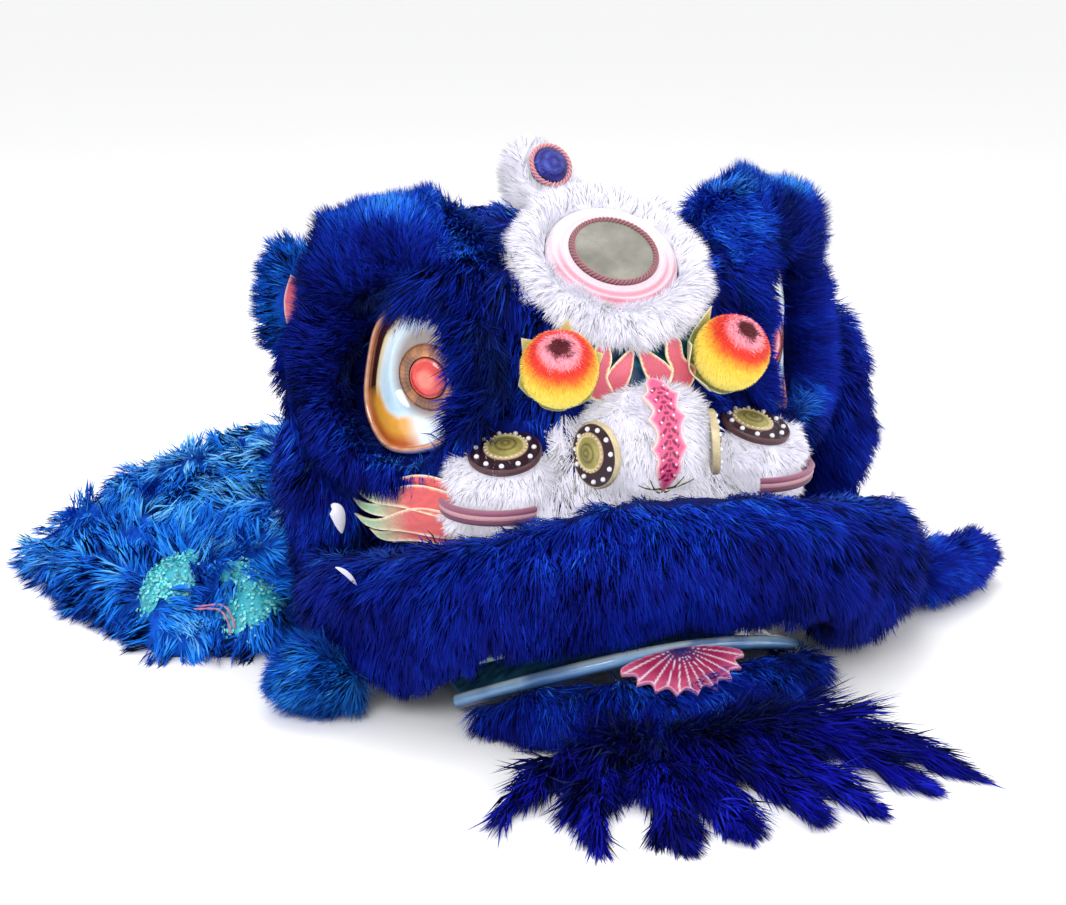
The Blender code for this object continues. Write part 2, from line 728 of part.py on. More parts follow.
def make_horn(plug):
    axis = Vector((0.12, -math.cos(HORN_CAP_LEAN), math.sin(HORN_CAP_LEAN))).normalized()
    foot = HORN_CENTRE + axis * (HORN_RADIUS - 0.006)
    outer = HORN_CAP_RADIUS + 0.006
    inner = HORN_CAP_RADIUS + GAP
    ring_profile = [(inner, -0.010), (outer, -0.010), (outer, 0.004), (inner, 0.008)]
    ring = turned("horn_ring", foot, axis, ring_profile, 12, PINK, 0.4)
    cap_profile = [(0, -0.010), (HORN_CAP_RADIUS, -0.010), (HORN_CAP_RADIUS, 0.004)]
    cap_profile += [(HORN_CAP_RADIUS * 0.7, 0.012), (0, 0.015)]
    cap = turned("horn_cap", foot, axis, cap_profile, 12, (0.03, 0.03, 0.42), 0.6)
    rows = [
        RollPoint(0.0, 0.020, 0.478, 0.040, 0.040),
        RollPoint(0.0, 0.040, 0.510, 0.043, 0.043),
        RollPoint(-0.008, 0.055, 0.540, 0.046, 0.044),
        RollPoint(-0.010, 0.064, 0.566, 0.040, 0.038),
        RollPoint(-0.006, 0.068, 0.583, 0.020, 0.020),
    ]
    fur = fur_roll("horn_fur", rows, 7, 8, WHITE, 0.16, (0, 0.6, 0.5))
    seat(fur, plug, ring, cap)
    return [ring, cap, fur]


def ornament_disc(name, centre, axis, radius):
    """A flat disc with a domed middle, a groove and a ring of beads fused to its face."""
    thick = 0.008
    middle = radius * 0.48
    profile = [
        (0, 0), (radius, 0), (radius, thick), (middle + 0.003, thick), (middle, thick + 0.004),
        (0, thick + 0.0065),
    ]
    return turned(name, centre, axis, profile, 12, PLUM, 0.5)


def make_nose(plug):
    pieces = []
    bulb_centre = Vector((0.004, -0.262, 0.306))
    outline = [
        (0.006, 0.074), (0.013, 0.052), (0.023, 0.044), (0.016, 0.026), (0.022, 0.006), (0.016, -0.014),
    ]
    outline += [(0.019, -0.030), (0.011, -0.044), (0.004, -0.068)]
    outline += [(-x, y) for x, y in reversed(outline)]

    def on_bulb(x, y, lift):
        radius = 0.058 + lift
        angle = math.radians(14) + y / 0.062
        ahead = -radius * math.cos(angle) + 0.10 * x * x
        return bulb_centre + Vector((x, ahead, 0.064 / 0.058 * radius * math.sin(angle)))

    strip = plate("nose_strip", outline, 0.005, on_bulb, (0.72, 0.10, 0.26), 0.5)
    pieces.append(strip)
    for side, sign in SIDES.items():
        axis = Vector((sign * 0.94, -0.32, 0.08))
        centre = Vector((sign * 0.066 + 0.003, -0.286, 0.300))
        pieces.append(ornament_disc("nose_disc_" + side, centre, axis, 0.037))
        axis = Vector((sign * 0.16, -0.24, 0.96))
        centre = Vector((sign * 0.152, -0.232, 0.292))
        pieces.append(ornament_disc("lobe_disc_" + side, centre, axis, 0.041))
    for piece in pieces[1:]:
        seat(piece, plug)
    bulb = fur_ball("nose_fur", bulb_centre, (0.084, 0.060, 0.062), WHITE, 6, 10, 0.12)
    seat(bulb, plug, *pieces)
    pieces.append(bulb)
    for side, sign in SIDES.items():
        middle, radii = (sign * 0.154, -0.226, 0.266), (0.066, 0.058, 0.040)
        lobe = fur_ball("nose_lobe_" + side, middle, radii, WHITE, 5, 8, 0.14)
        seat(lobe, plug, *pieces)
        pieces.append(lobe)
    return pieces


def flame_outline(length, height):
    """A flame lying along x: a round root and three pointed tongues."""
    outline = [(0.0, 0.46), (-0.06, 0.10), (0.0, -0.30), (0.25, -0.46), (0.62, -0.44), (1.0, -0.58)]
    outline += [(0.72, -0.22), (1.06, -0.10), (0.70, 0.06), (0.98, 0.36), (0.58, 0.30), (0.26, 0.50)]
    return [(x * length, y * height) for x, y in outline]


def make_flames(plug):
    """White wing at the nostril with the flame that streams back from it, on each side."""
    pieces = []
    for side, sign in SIDES.items():
        start = head_turn_of(0.186)

        def place(x, y, lift, sign=sign, start=start):
            point = head_point(start + x / 0.215, 0.222 + y - 0.10 * x, lift)
            return Vector((sign * point.x, point.y, point.z))

        outline = flame_outline(0.118, 0.052)
        flame = plate("flame_" + side, outline, 0.005, place, (0.80, 0.22, 0.20), 0.5, lambda x, y: 0.022)
        pieces.append(add_hull_form(flame))
    for side, sign in SIDES.items():
        middle, radii = (sign * 0.192, -0.222, 0.226), (0.030, 0.026, 0.024)
        wing = fur_ball("nostril_wing_" + side, middle, radii, WHITE, 5, 7, 0.2)
        seat(wing, plug, *pieces)
        pieces.append(wing)
    return pieces


def head_turn_of(x):
    """The turn at which the muzzle is this far from the middle."""
    half_width, squareness = HEAD_SECTIONS[2].half_width, HEAD_SECTIONS[2].squareness
    return math.asin((x / half_width) ** (squareness / 2))


def make_pompoms(plug, nose):
    pieces = []
    for side, sign in SIDES.items():
        centre = Vector((sign * POMPOM_CENTRE.x, POMPOM_CENTRE.y, POMPOM_CENTRE.z))
        axis = Vector((sign * 0.30, -0.84, 0.44)).normalized()
        post_length = 0.085
        profile = [(0, 0), (POST_RADIUS, 0), (POST_RADIUS, post_length), (0, post_length)]
        foot = centre - axis * post_length
        post = turned("pompom_post_" + side, foot, axis, profile, 8, (0.30, 0.32, 0.12), 0.6)
        seat(post, plug)
        turn = frame_towards(axis)
        leaves = 6
        rings = []
        for lift, reach in ((-0.058, 0.5), (-0.058, 1.0), (-0.055, 1.0), (-0.055, 0.5)):
            ring = []
            for k in range(leaves * 2):
                tip = k % 2 == 0
                radius = (0.058 if tip else 0.034) * reach
                rise = 0.022 * reach if tip else 0.004 * reach
                angle = math.tau * k / (leaves * 2)
                spot = Vector((radius * math.cos(angle), radius * math.sin(angle), lift + rise))
                ring.append(centre + turn @ spot)
            rings.append(ring)
        petals = mesh_object("pompom_petals_" + side, *loft(rings), (0.72, 0.74, 0.30), 0.5)
        seat(petals, plug, post, *nose)
        add_hull_form(petals)
        radii, colour = (POMPOM_RADIUS,) * 3, (0.86, 0.24, 0.06)
        pompom = fur_ball("pompom_" + side, centre, radii, colour, 7, 10, 0.07, turn)
        seat(pompom, post)
        pieces += [post, petals, pompom]
    return pieces


def make_leaves(plug):
    """A pink leaf with three tongues on each side above the nose strip."""
    outline = [(0.000, -0.026), (0.016, -0.016), (0.034, -0.006), (0.052, 0.012), (0.034, 0.008)]
    outline += [(0.040, 0.030), (0.022, 0.018), (0.016, 0.040), (0.006, 0.018)]
    pieces = []
    for side, sign in SIDES.items():

        def place(x, y, lift, sign=sign):
            point = head_point((x + 0.004) / 0.24, 0.388 + y, lift)
            return Vector((sign * point.x, point.y, point.z))

        colour = (0.80, 0.24, 0.30)
        leaf = plate("nose_leaf_" + side, outline, 0.004, place, colour, 0.5, lambda x, y: 0.006 + 0.25 * x)
        pieces.append(add_hull_form(leaf))
    return pieces


def make_ear(side, plug, neighbours):
    sign = SIDES[side]
    centre = Vector((sign * 0.300, 0.070, 0.396))
    axis = Vector((sign * 0.30, -0.94, 0.10))
    up = Vector((sign * 0.28, 0.10, 1.0))
    turn = frame_towards(axis, up)
    inner_outline = [(0.0, 0.050), (0.020, 0.024), (0.024, -0.010), (0.010, -0.040)]
    inner_outline += [(-0.010, -0.040), (-0.024, -0.010), (-0.020, 0.024)]

    def place(x, y, lift):
        return centre + turn @ Vector((x, y, 0.020 + lift))

    inner = plate("ear_inner_" + side, inner_outline, 0.006, place, (0.75, 0.20, 0.28), 0.8)
    upright = turn @ Matrix.Rotation(math.radians(90), 3, "X").transposed()
    ear = fur_ball("ear_" + side, centre, (0.058, 0.030, 0.094), AZURE, 6, 8, 0.2, upright)
    seat(ear, plug, inner, *neighbours)
    seat(inner, *neighbours)
    return [inner, ear]


def make_back_fur(plug, neighbours):
    """Fur cloth over the crown and round the back of the shell, as one thick skin."""
    first, last = math.radians(98), math.radians(262)
    columns, rows = 10, 4
    inside, outside = [], []
    for j in range(rows + 1):
        height = 0.016 + (HEAD_SECTIONS[-1].height - 0.024 - 0.016) * j / rows
        low, high = [], []
        for i in range(columns + 1):
            share = i / columns
            turn = first + (last - first) * share
            edge = min(1.0, 4 * min(share, 1 - share) + 0.35)
            tip = (i + j) % 2
            thick = 0.034 * edge * (0.82 + tip * (0.2 + 0.3 * uneven(i, j)))
            low.append(head_point(turn, height, -0.002))
            high.append(head_point(turn, max(height - 0.012 * tip, 0.008), thick))
        inside.append(low)
        outside.append(high)
    rings = [high + list(reversed(low)) for low, high in zip(inside, outside)]
    fur = mesh_object("back_fur", *loft_sheet(rings), (0.012, 0.045, 0.300))
    return seat(fur, plug, *neighbours)


def loft_sheet(rings):
    """Points and faces through rings that are flat loops, each end closed by quads across the loop."""
    sides = len(rings[0])
    points = [p for ring in rings for p in ring]
    faces = []
    for i in range(len(rings) - 1):
        for j in range(sides):
            here, there, after = i * sides, (i + 1) * sides, (j + 1) % sides
            faces.append((here + j, here + after, there + after, there + j))
    for base in (0, (len(rings) - 1) * sides):
        for j in range(sides // 2 - 1):
            faces.append((base + j, base + j + 1, base + sides - 2 - j, base + sides - 1 - j))
    return points, faces


def mirrored_rows(half):
    """The whole of a roll given from its middle to its right end."""
    left = [row._replace(x=-row.x) for row in reversed(half[1:])]
    return left + list(half)


def make_mouth_rim(plug):
    """Pale strip along the upper edge of the mouth, under the lip."""
    rings = []
    count = 8
    for k in range(count + 1):
        share = 2 * k / count - 1
        x = 0.190 * share
        front = -0.330 + 0.085 * share * share
        z = 0.109 - 0.056 * share * share
        rings.append([
            Vector((x, front, z)), Vector((x, front, z + 0.005)),
            Vector((x * 0.92, front + 0.075, z + 0.050)), Vector((x * 0.92, front + 0.075, z + 0.044)),
        ])
    rim = mesh_object("mouth_rim", *loft(rings), (0.20, 0.36, 0.36), 0.25)
    return seat(rim, plug)


def jaw_height(share):
    """Top of the jaw board across its width, share running from -1 to 1."""
    return JAW_TOP - (JAW_TOP - JAW_CORNER_TOP) * abs(share) ** 2.2


def jaw_edge(share):
    """Front edge of the jaw board."""
    return JAW_FRONT + (JAW_CORNER_FRONT - JAW_FRONT) * abs(share) ** 2.4


def make_jaw():
    """Board, hinge arms, glossy rim, petals and fur of the lower jaw."""
    columns, rows = 10, 2
    rings = []
    for j in range(rows + 1):
        depth = j / rows
        top, bottom = [], []
        for i in range(columns + 1):
            share = 2 * i / columns - 1
            y = jaw_edge(share) + (JAW_BACK - jaw_edge(share)) * depth
            z = jaw_height(share) * (1 - 0.25 * depth) + 0.004 * depth
            top.append(Vector((JAW_HALF_WIDTH * share, y, z)))
            bottom.append(Vector((JAW_HALF_WIDTH * share, y, z - JAW_THICK)))
        rings.append(top + list(reversed(bottom)))
    board = mesh_object("jaw_board", *loft_sheet(rings), (0.10, 0.22, 0.42), 0.25)
    for sign in SIDES.values():
        inner, outer = sign * 0.188, sign * 0.198
        line = [(JAW_BACK - 0.060, 0.004), (JAW_BACK - 0.060, 0.034), (HINGE.y - 0.016, HINGE.z + 0.004)]
        line += [(HINGE.y - 0.006, HINGE.z + 0.015), (HINGE.y + 0.010, HINGE.z + 0.014)]
        line += [(HINGE.y + 0.016, HINGE.z), (HINGE.y + 0.010, HINGE.z - 0.014), (JAW_BACK, 0.006)]
        arm_rings = [[Vector((x, y, z)) for y, z in line] for x in (inner, outer)]
        combine(board, mesh_object("arm", *loft(arm_rings)), "UNION")
    for sign in SIDES.values():
        profile = [(0, -0.02), (PIN_HOLE_RADIUS, -0.02), (PIN_HOLE_RADIUS, 0.02), (0, 0.02)]
        hole = turned("hole", (sign * 0.193, HINGE.y, HINGE.z), (1, 0, 0), profile, 12, None)
        combine(board, hole, "DIFFERENCE")

    rows = []
    for k in range(13):
        share = 2 * k / 12 - 1
        step = 0.02
        slope = Vector((JAW_HALF_WIDTH * 2 * step, jaw_edge(share + step) - jaw_edge(share - step)))
        out = Vector((slope.y, -slope.x)).normalized() * JAW_RIM_RADIUS * 1.3
        place = (JAW_HALF_WIDTH * share + out.x, jaw_edge(share) + out.y, jaw_height(share) - 0.002)
        rows.append(RollPoint(*place, JAW_RIM_RADIUS, JAW_RIM_RADIUS))
    rim = fur_roll("jaw_rim", rows, 15, 6, (0.35, 0.55, 0.80), 0.0, (0, 0, -0.2))

    outline = [(0.0, 0.0)]
    petals = 9
    for k in range(petals * 2 + 1):
        angle = math.radians(8) + math.radians(164) * k / (petals * 2)
        reach = 1.0 if k % 2 else 0.84
        outline.append((0.076 * reach * math.cos(angle), -0.060 * reach * math.sin(angle)))
    lean = math.radians(22)

    def place(x, y, lift):
        ahead = -0.368 + y * math.cos(lean) - lift * math.sin(lean)
        return Vector((x, ahead, 0.094 + y * math.sin(lean) + lift * math.cos(lean)))

    colour = (0.72, 0.14, 0.28)
    petal_fan = plate("jaw_petals", outline, 0.004, place, colour, 0.5, lambda x, y: -1.6 * x * x - 3 * y * y)
    seat_close(petal_fan, rim, board)
    add_hull_form(petal_fan)
    fur = fur_roll("jaw_fur", mirrored_rows(JAW_FUR_HALF), 13, 7, NAVY, 0.16, (0, -0.1, 0.05))
    cut_below(fur, 0.001)
    seat(fur, board, rim, petal_fan)
    return [board, rim, petal_fan, fur]


def cut_below(obj, height):
    """Flattens the underside so that the piece lies on the floor."""
    for vert in obj.data.vertices:
        vert.co.z = max(vert.co.z, height)


def make_beard(jaw_fur):
    """Long flat strips of fur fused to a bar, lying on the floor in front of the jaw."""
    bar_rows = [
        RollPoint(-0.145, -0.360, 0.013, 0.022, 0.012),
        RollPoint(-0.074, -0.414, 0.016, 0.030, 0.015),
        RollPoint(0.000, -0.432, 0.017, 0.032, 0.016),
        RollPoint(0.074, -0.414, 0.016, 0.030, 0.015),
        RollPoint(0.145, -0.360, 0.013, 0.022, 0.012),
    ]
    beard = fur_roll("beard", bar_rows, 8, 6, ROYAL, 0.12, (0, -0.1, 0.0))
    cut_below(beard, 0.0012)
    for number, strip in enumerate(BEARD_STRIPS):
        start, tip = Vector(strip.start), Vector(strip.tip)
        side = Vector((tip.y - start.y, start.x - tip.x)).normalized()
        rows = []
        for k in range(5):
            share = k / 4
            place = start.lerp(tip, share) + side * strip.bend * math.sin(math.pi * share)
            width = strip.half_width * (1 - 0.72 * share**2)
            height = BEARD_HEIGHT * (1 - 0.45 * share)
            rows.append(RollPoint(place.x, place.y, height, height * 0.9, width))
        rings = roll_rings(rows, 5, 4, 0.1, (0, -0.4, -5.0), blunt=0.3)
        lock = mesh_object(f"strip_{number}", *loft(rings))
        cut_below(lock, 0.0005 + 0.0002 * (number % 3))
        combine(beard, lock, "UNION")
    return seat_close(beard, jaw_fur)


def make_heap(neighbours):
    """The lion's body of fur cloth, bunched on the floor: a low lumpy mound with a flat underside."""
    columns, rows = 26, 4
    top = []
    for j in range(rows):
        share = 1 - j / rows
        ring = []
        for i in range(columns):
            x, y, edge_height = between(HEAP_OUTLINE, i / columns, closed=True)
            tip = (i + j) % 2
            waver = 1 + 0.045 * (uneven(i, 5) - 0.5) * 2
            place = HEAP_MIDDLE.lerp(Vector((x, y, 0)), share * waver)
            rise = (1 - share**4) ** 0.5
            lump = 1 + 0.13 * math.sin(23 * place.x + 9 * place.y) * math.cos(19 * place.y - 7 * place.x)
            height = (edge_height * share + HEAP_TOP * (1 - share)) * rise * lump
            height += 0.014 * tip * (0.4 + uneven(i, j)) if j else 0.0
            ring.append(Vector((place.x, place.y, max(height, 0.012) if j else 0.010)))
        top.append(ring)
    ground = [Vector((p.x * 0.995, p.y * 0.995, 0.0)) for p in top[0]]
    heap = mesh_object("body_cloth", *loft([ground] + top), AZURE)
    return seat(heap, *neighbours)


def place_on_floor(pieces):
    """Moves everything so that the bottom centre of the bounding box is the origin."""
    points = [v.co for piece in pieces for v in piece.data.vertices]
    low = Vector(tuple(min(p[i] for p in points) for i in range(3)))
    high = Vector(tuple(max(p[i] for p in points) for i in range(3)))
    shift = Vector(((low.x + high.x) / 2, (low.y + high.y) / 2, low.z))
    for piece in pieces:
        piece.data.transform(Matrix.Translation(-shift))
    print("head's own origin is at", tuple(round(-c, 5) for c in shift))


def build():
    clear_scene()
    shell, plug = make_shell()
    hard = [shell]
    eyes = {side: make_eye(side, plug) for side in SIDES}
    for pieces in eyes.values():
        hard += pieces
    forehead = make_forehead(plug)
    horn = make_horn(plug)
    nose = make_nose(plug)
    flames = make_flames(plug)
    pompoms = make_pompoms(plug, [p for p in nose if "disc" in p.name])
    leaves = make_leaves(plug)
    mouth_rim = make_mouth_rim(plug)
    seat(forehead[-1], *pompoms, *leaves)
    seat(horn[-1], forehead[-1])
    for leaf in leaves:
        seat(leaf, plug, nose[0], *[p for p in pompoms if "petals" in p.name])
    trim = forehead + horn + nose + flames + pompoms + leaves + [mouth_rim]
    for fur in (p for p in nose if p.name in ("nose_fur", "nose_lobe_left", "nose_lobe_right")):
        seat(fur, *flames, *pompoms, *leaves)

    jaw = make_jaw()
    beard = make_beard(jaw[-1])

    lip = fur_roll("lip_fur", LIP, 23, 8, NAVY, 0.15, (0, 0.1, 0.2), (0, 0, -0.8))
    cut_below(lip, 0.001)
    seat(lip, plug, *nose, *flames, mouth_rim, jaw[-1])
    furs = [lip]
    for side, sign in SIDES.items():
        rows = [row._replace(x=sign * row.x) for row in BROW_LOOP]
        brow = fur_roll("brow_fur_" + side, rows, 16, 7, NAVY, 0.18, (sign * 0.22, -0.06, 0.37), closed=True)
        seat(brow, plug, eyes[side][0], *trim, lip)
        furs.append(brow)
    for side, sign in SIDES.items():
        spread = CHEEK_SPREAD[side]
        rows = [row._replace(x=sign * (row.x + spread * min(1.0, (0.42 - row.z) / 0.15))) for row in CHEEK]
        cheek = fur_roll("cheek_fur_" + side, rows, 9, 8, NAVY, 0.2, (0, 0.0, 0.25), (0, 0, -0.8))
        seat(cheek, plug, eyes[side][0], *flames, *furs)
        furs.append(cheek)
    ears = []
    for side in SIDES:
        ears += make_ear(side, plug, [f for f in furs if side in f.name])
    furs.append(make_back_fur(plug, [forehead[-1], horn[-1], *furs, *ears]))
    for side in SIDES:
        colour = AZURE if side == "left" else NAVY
        tuft = fur_roll("tuft_" + side, TUFTS[side], 7, 8, colour, 0.22, (0, 0, -3))
        cut_below(tuft, 0.0)
        seat_close(tuft, lip)
        seat(tuft, plug, *furs[1:])
        furs.append(tuft)
    heap = make_heap([plug, *furs, *ears])
    pieces = hard + trim + jaw + [beard] + furs + ears + [heap]
    bpy.data.objects.remove(plug, do_unlink=True)
    place_on_floor(pieces)


build()
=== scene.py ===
"""The dressed lion dance head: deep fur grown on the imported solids, plush, painted trim, lights and camera.

Metres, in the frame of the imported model. The lion faces -Y and +X is on the right of someone who
looks it in the face. Fur is an undercoat, remeshed from the solid, with flat strands grown on it.
"""

import json
import math

import bmesh
import bpy
import numpy as np
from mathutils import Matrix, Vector
from mathutils.bvhtree import BVHTree
from mathutils.geometry import delaunay_2d_cdt
from mathutils.kdtree import KDTree

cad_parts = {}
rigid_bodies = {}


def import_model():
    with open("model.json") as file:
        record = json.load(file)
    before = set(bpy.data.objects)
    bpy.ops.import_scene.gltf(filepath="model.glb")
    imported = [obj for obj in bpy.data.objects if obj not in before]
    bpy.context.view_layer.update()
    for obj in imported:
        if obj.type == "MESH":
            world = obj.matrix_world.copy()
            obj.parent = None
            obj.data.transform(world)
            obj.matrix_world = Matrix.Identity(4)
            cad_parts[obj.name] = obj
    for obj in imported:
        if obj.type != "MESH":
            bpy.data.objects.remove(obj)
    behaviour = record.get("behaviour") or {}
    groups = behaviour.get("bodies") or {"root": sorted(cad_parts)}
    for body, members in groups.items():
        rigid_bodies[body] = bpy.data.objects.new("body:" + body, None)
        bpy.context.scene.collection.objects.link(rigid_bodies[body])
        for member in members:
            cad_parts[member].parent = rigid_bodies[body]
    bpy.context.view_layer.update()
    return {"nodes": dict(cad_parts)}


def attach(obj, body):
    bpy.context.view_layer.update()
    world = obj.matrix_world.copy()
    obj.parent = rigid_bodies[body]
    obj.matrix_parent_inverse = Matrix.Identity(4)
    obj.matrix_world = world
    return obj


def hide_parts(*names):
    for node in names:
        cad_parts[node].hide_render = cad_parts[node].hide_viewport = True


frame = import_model()
nodes = frame["nodes"]
scene_objects = bpy.data.objects

HEAD = np.array([0.03171, 0.01643, 0.0])  # the middle of the head's base
SIDES = {"left": -1, "right": 1}
FLOOR_GAP = 0.0006

CAMERA_TURN = -20.0
CAMERA_RISE = 18.0
CAMERA_DISTANCE = 2.2
CAMERA_TARGET = HEAD + np.array([-0.035, 0.0, 0.212])
CAMERA_LENS = 59.44
SENSOR_WIDTH = 36.0


def srgb(r, g, b):
    """Linear colour from 0 to 255 display values."""
    values = [c / 255 for c in (r, g, b)]
    return np.array([c / 12.92 if c <= 0.04045 else ((c + 0.055) / 1.055) ** 2.4 for c in values])


def shades(*rows):
    """(place, colour) stops from rows of a place and a display colour."""
    return [(place, srgb(*colour)) for place, *colour in rows]


# Fur colours, from the darkest strand to the lightest; where shade_at follows which way strands face, the
# light end is painted light and the dark end painted shade
NAVY_FUR = shades((0.0, 3, 9, 92), (0.35, 7, 26, 142), (0.65, 14, 52, 188), (0.85, 26, 96, 226),
                  (1.0, 64, 150, 244))
AZURE_FUR = shades(
    (0.0, 6, 40, 140), (0.3, 12, 86, 206), (0.6, 26, 130, 243), (0.85, 72, 172, 253), (1.0, 128, 206, 254),
)
ROYAL_FUR = shades((0.0, 8, 8, 78), (0.35, 12, 14, 128), (0.7, 18, 20, 182), (1.0, 42, 62, 228))
WHITE_FUR = shades((0.0, 182, 178, 204), (0.4, 202, 199, 217), (1.0, 221, 218, 233))

# Strands
COLUMNS = 64  # shades in one piece
KNEE, BEYOND_KNEE = 0.52, 0.50  # shares of the length before the bend and after it
STRAND_TURN = 0.85  # how far strands turn about their own length, in radians
STRAND_FOOT = 0.7  # width of a straight strand's foot, as a share of its width
MIDDLE_SHADE = 0.42
MOST_PUSH = 1.6  # how hard strands lean off what they keep clear of
HIDDEN_WITHIN = 0.08  # a root with another piece this close above it is left out


# Materials


def new_material(name, roughness=0.6, **sockets):
    mat = bpy.data.materials.new(name)
    mat.use_nodes = True
    shader = mat.node_tree.nodes["Principled BSDF"]
    shader.inputs["Roughness"].default_value = roughness
    for key, value in sockets.items():
        shader.inputs[key.replace("_", " ")].default_value = value
    return mat, mat.node_tree, shader


def ramp_node(tree, stops, factor=None):
    """A colour ramp of (place, linear colour) stops, fed by factor."""
    node = tree.nodes.new("ShaderNodeValToRGB")
    ramp = node.color_ramp
    while len(ramp.elements) < len(stops):
        ramp.elements.new(0.5)
    for element, (place, colour) in zip(ramp.elements, stops):
        element.position = place
        element.color = (*colour, 1.0)
    if factor is not None:
        tree.links.new(factor, node.inputs["Fac"])
    return node


def noise_node(tree, scale, detail=3.0, stretch=None):
    """Noise in object space, in cells of 1 / scale metres, drawn out by stretch."""
    coords = tree.nodes.new("ShaderNodeTexCoord").outputs["Object"]
    if stretch:
        mapping = tree.nodes.new("ShaderNodeMapping")
        mapping.inputs["Scale"].default_value = stretch
        tree.links.new(coords, mapping.inputs["Vector"])
        coords = mapping.outputs["Vector"]
    noise = tree.nodes.new("ShaderNodeTexNoise")
    noise.inputs["Scale"].default_value = scale
    noise.inputs["Detail"].default_value = detail
    noise.inputs["Roughness"].default_value = 0.55
    tree.links.new(coords, noise.inputs["Vector"])
    return noise.outputs["Fac"]


def add_bump(tree, shader, height, strength, distance):
    bump = tree.nodes.new("ShaderNodeBump")
    bump.inputs["Strength"].default_value = strength
    bump.inputs["Distance"].default_value = distance
    tree.links.new(height, bump.inputs["Height"])
    tree.links.new(bump.outputs["Normal"], shader.inputs["Normal"])


def mottled(name, dark, light, scale, roughness=0.6, bump=0.3, depth=0.001, stretch=None, **sockets):
    """A surface whose colour wanders between two display colours, with matching relief."""
    mat, tree, shader = new_material(name, roughness, **sockets)
    noise = noise_node(tree, scale, 4.0, stretch)
    colour = ramp_node(tree, [(0.3, srgb(*dark)), (0.7, srgb(*light))], noise)
    tree.links.new(colour.outputs["Color"], shader.inputs["Base Color"])
    add_bump(tree, shader, noise, bump, depth)
    return mat


def strand_material(name, roughness=0.65, sheen=0.05, tint=(0.25, 0.5, 1.0), painted_glow=0.0):
    """Strands take their colour, root to tip, from the mesh; an emission can make them glow as painted light.
    """
    mat, tree, shader = new_material(name, roughness)
    shader.inputs["Sheen Weight"].default_value = sheen
    shader.inputs["Sheen Roughness"].default_value = 0.4
    shader.inputs["Sheen Tint"].default_value = (*tint, 1.0)
    shader.inputs["Specular IOR Level"].default_value = 0.06
    shader.inputs["Emission Color"].default_value = (1.0, 1.0, 1.0, 1.0)
    shader.inputs["Emission Strength"].default_value = painted_glow
    colour = tree.nodes.new("ShaderNodeAttribute")
    colour.attribute_name = "strand_colour"
    tree.links.new(colour.outputs["Color"], shader.inputs["Base Color"])
    return mat


# Meshes


def link(obj):
    bpy.context.scene.collection.objects.link(obj)
    return obj


def arrays_of(obj):
    """Points, triangles and vertex normals of a mesh object, as arrays."""
    mesh = obj.data
    mesh.calc_loop_triangles()
    points = np.empty(len(mesh.vertices) * 3)
    mesh.vertices.foreach_get("co", points)
    normals = np.empty(len(mesh.vertices) * 3)
    mesh.vertices.foreach_get("normal", normals)
    tris = np.empty(len(mesh.loop_triangles) * 3, dtype=np.int32)
    mesh.loop_triangles.foreach_get("vertices", tris)
    return points.reshape(-1, 3), tris.reshape(-1, 3), normals.reshape(-1, 3)


def unit(v):
    return v / np.maximum(np.linalg.norm(v, axis=-1, keepdims=True), 1e-9)


def wave_noise(points, size, seed, channels=3):
    """Smooth noise from -1 to 1 with features of this size, one value per channel."""
    rng = np.random.default_rng(seed)
    total = np.zeros((len(points), channels))
    for _ in range(7):
        waves = rng.normal(size=(3, channels)) * (math.tau / size / 2.2)
        total += np.sin(points @ waves + rng.uniform(0, math.tau, channels))
    return np.clip(total / 3.2, -1, 1)


def undercoat(name, node, material, voxel, smooth, inset, lumps, lump_size, seed, body="head"):
    """The soft skin under the strands: the solid's copy remeshed, smoothed, drawn in and made lumpy."""
    source = nodes[node]
    obj = link(bpy.data.objects.new(name, source.data.copy()))
    obj.data.materials.clear()
    remesh = obj.modifiers.new("remesh", "REMESH")
    remesh.mode = "VOXEL"
    remesh.voxel_size = voxel
    soften = obj.modifiers.new("soften", "SMOOTH")
    soften.factor = 0.6
    soften.iterations = smooth
    bpy.context.view_layer.update()
    graph = bpy.context.evaluated_depsgraph_get()
    mesh = bpy.data.meshes.new_from_object(obj.evaluated_get(graph))
    obj.modifiers.clear()
    obj.data = mesh
    mesh.update()
    points, _, normals = arrays_of(obj)
    bumps = wave_noise(points, lump_size, seed, 1)
    points = points + normals * (bumps * lumps - inset)
    points[:, 2] = np.maximum(points[:, 2], FLOOR_GAP)
    mesh.vertices.foreach_set("co", points.ravel())
    mesh.update()
    mesh.shade_smooth()
    mesh.materials.append(material)
    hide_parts(node)
    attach(obj, body)
    return obj


def roots_on(obj, count, rng, keep=None):
    """Points and normals spread evenly over a mesh, where keep allows."""
    points, tris, normals = arrays_of(obj)
    corners = points[tris]
    area = np.linalg.norm(np.cross(corners[:, 1] - corners[:, 0], corners[:, 2] - corners[:, 0]), axis=1)
    middle = corners.mean(axis=1)
    facing = unit(normals[tris].mean(axis=1))
    if keep is not None:
        area = area * keep(middle, facing)
    places = (np.arange(count) + rng.uniform(size=count)) / count
    chosen = np.searchsorted(np.cumsum(area) / area.sum(), places)
    chosen = np.minimum(chosen, len(tris) - 1)
    a, b = rng.uniform(size=(2, count))
    over = a + b > 1
    a[over], b[over] = 1 - a[over], 1 - b[over]
    weights = np.stack([1 - a - b, a, b], axis=1)[:, :, None]
    return (corners[chosen] * weights).sum(axis=1), unit((normals[tris[chosen]] * weights).sum(axis=1))


def between_stops(stops, level):
    """Colours at these levels of a list of (place, colour) stops."""
    places = [place for place, _ in stops]
    colours = np.array([colour for _, colour in stops])
    return np.stack([np.interp(level, places, colours[:, k]) for k in range(3)], axis=-1)


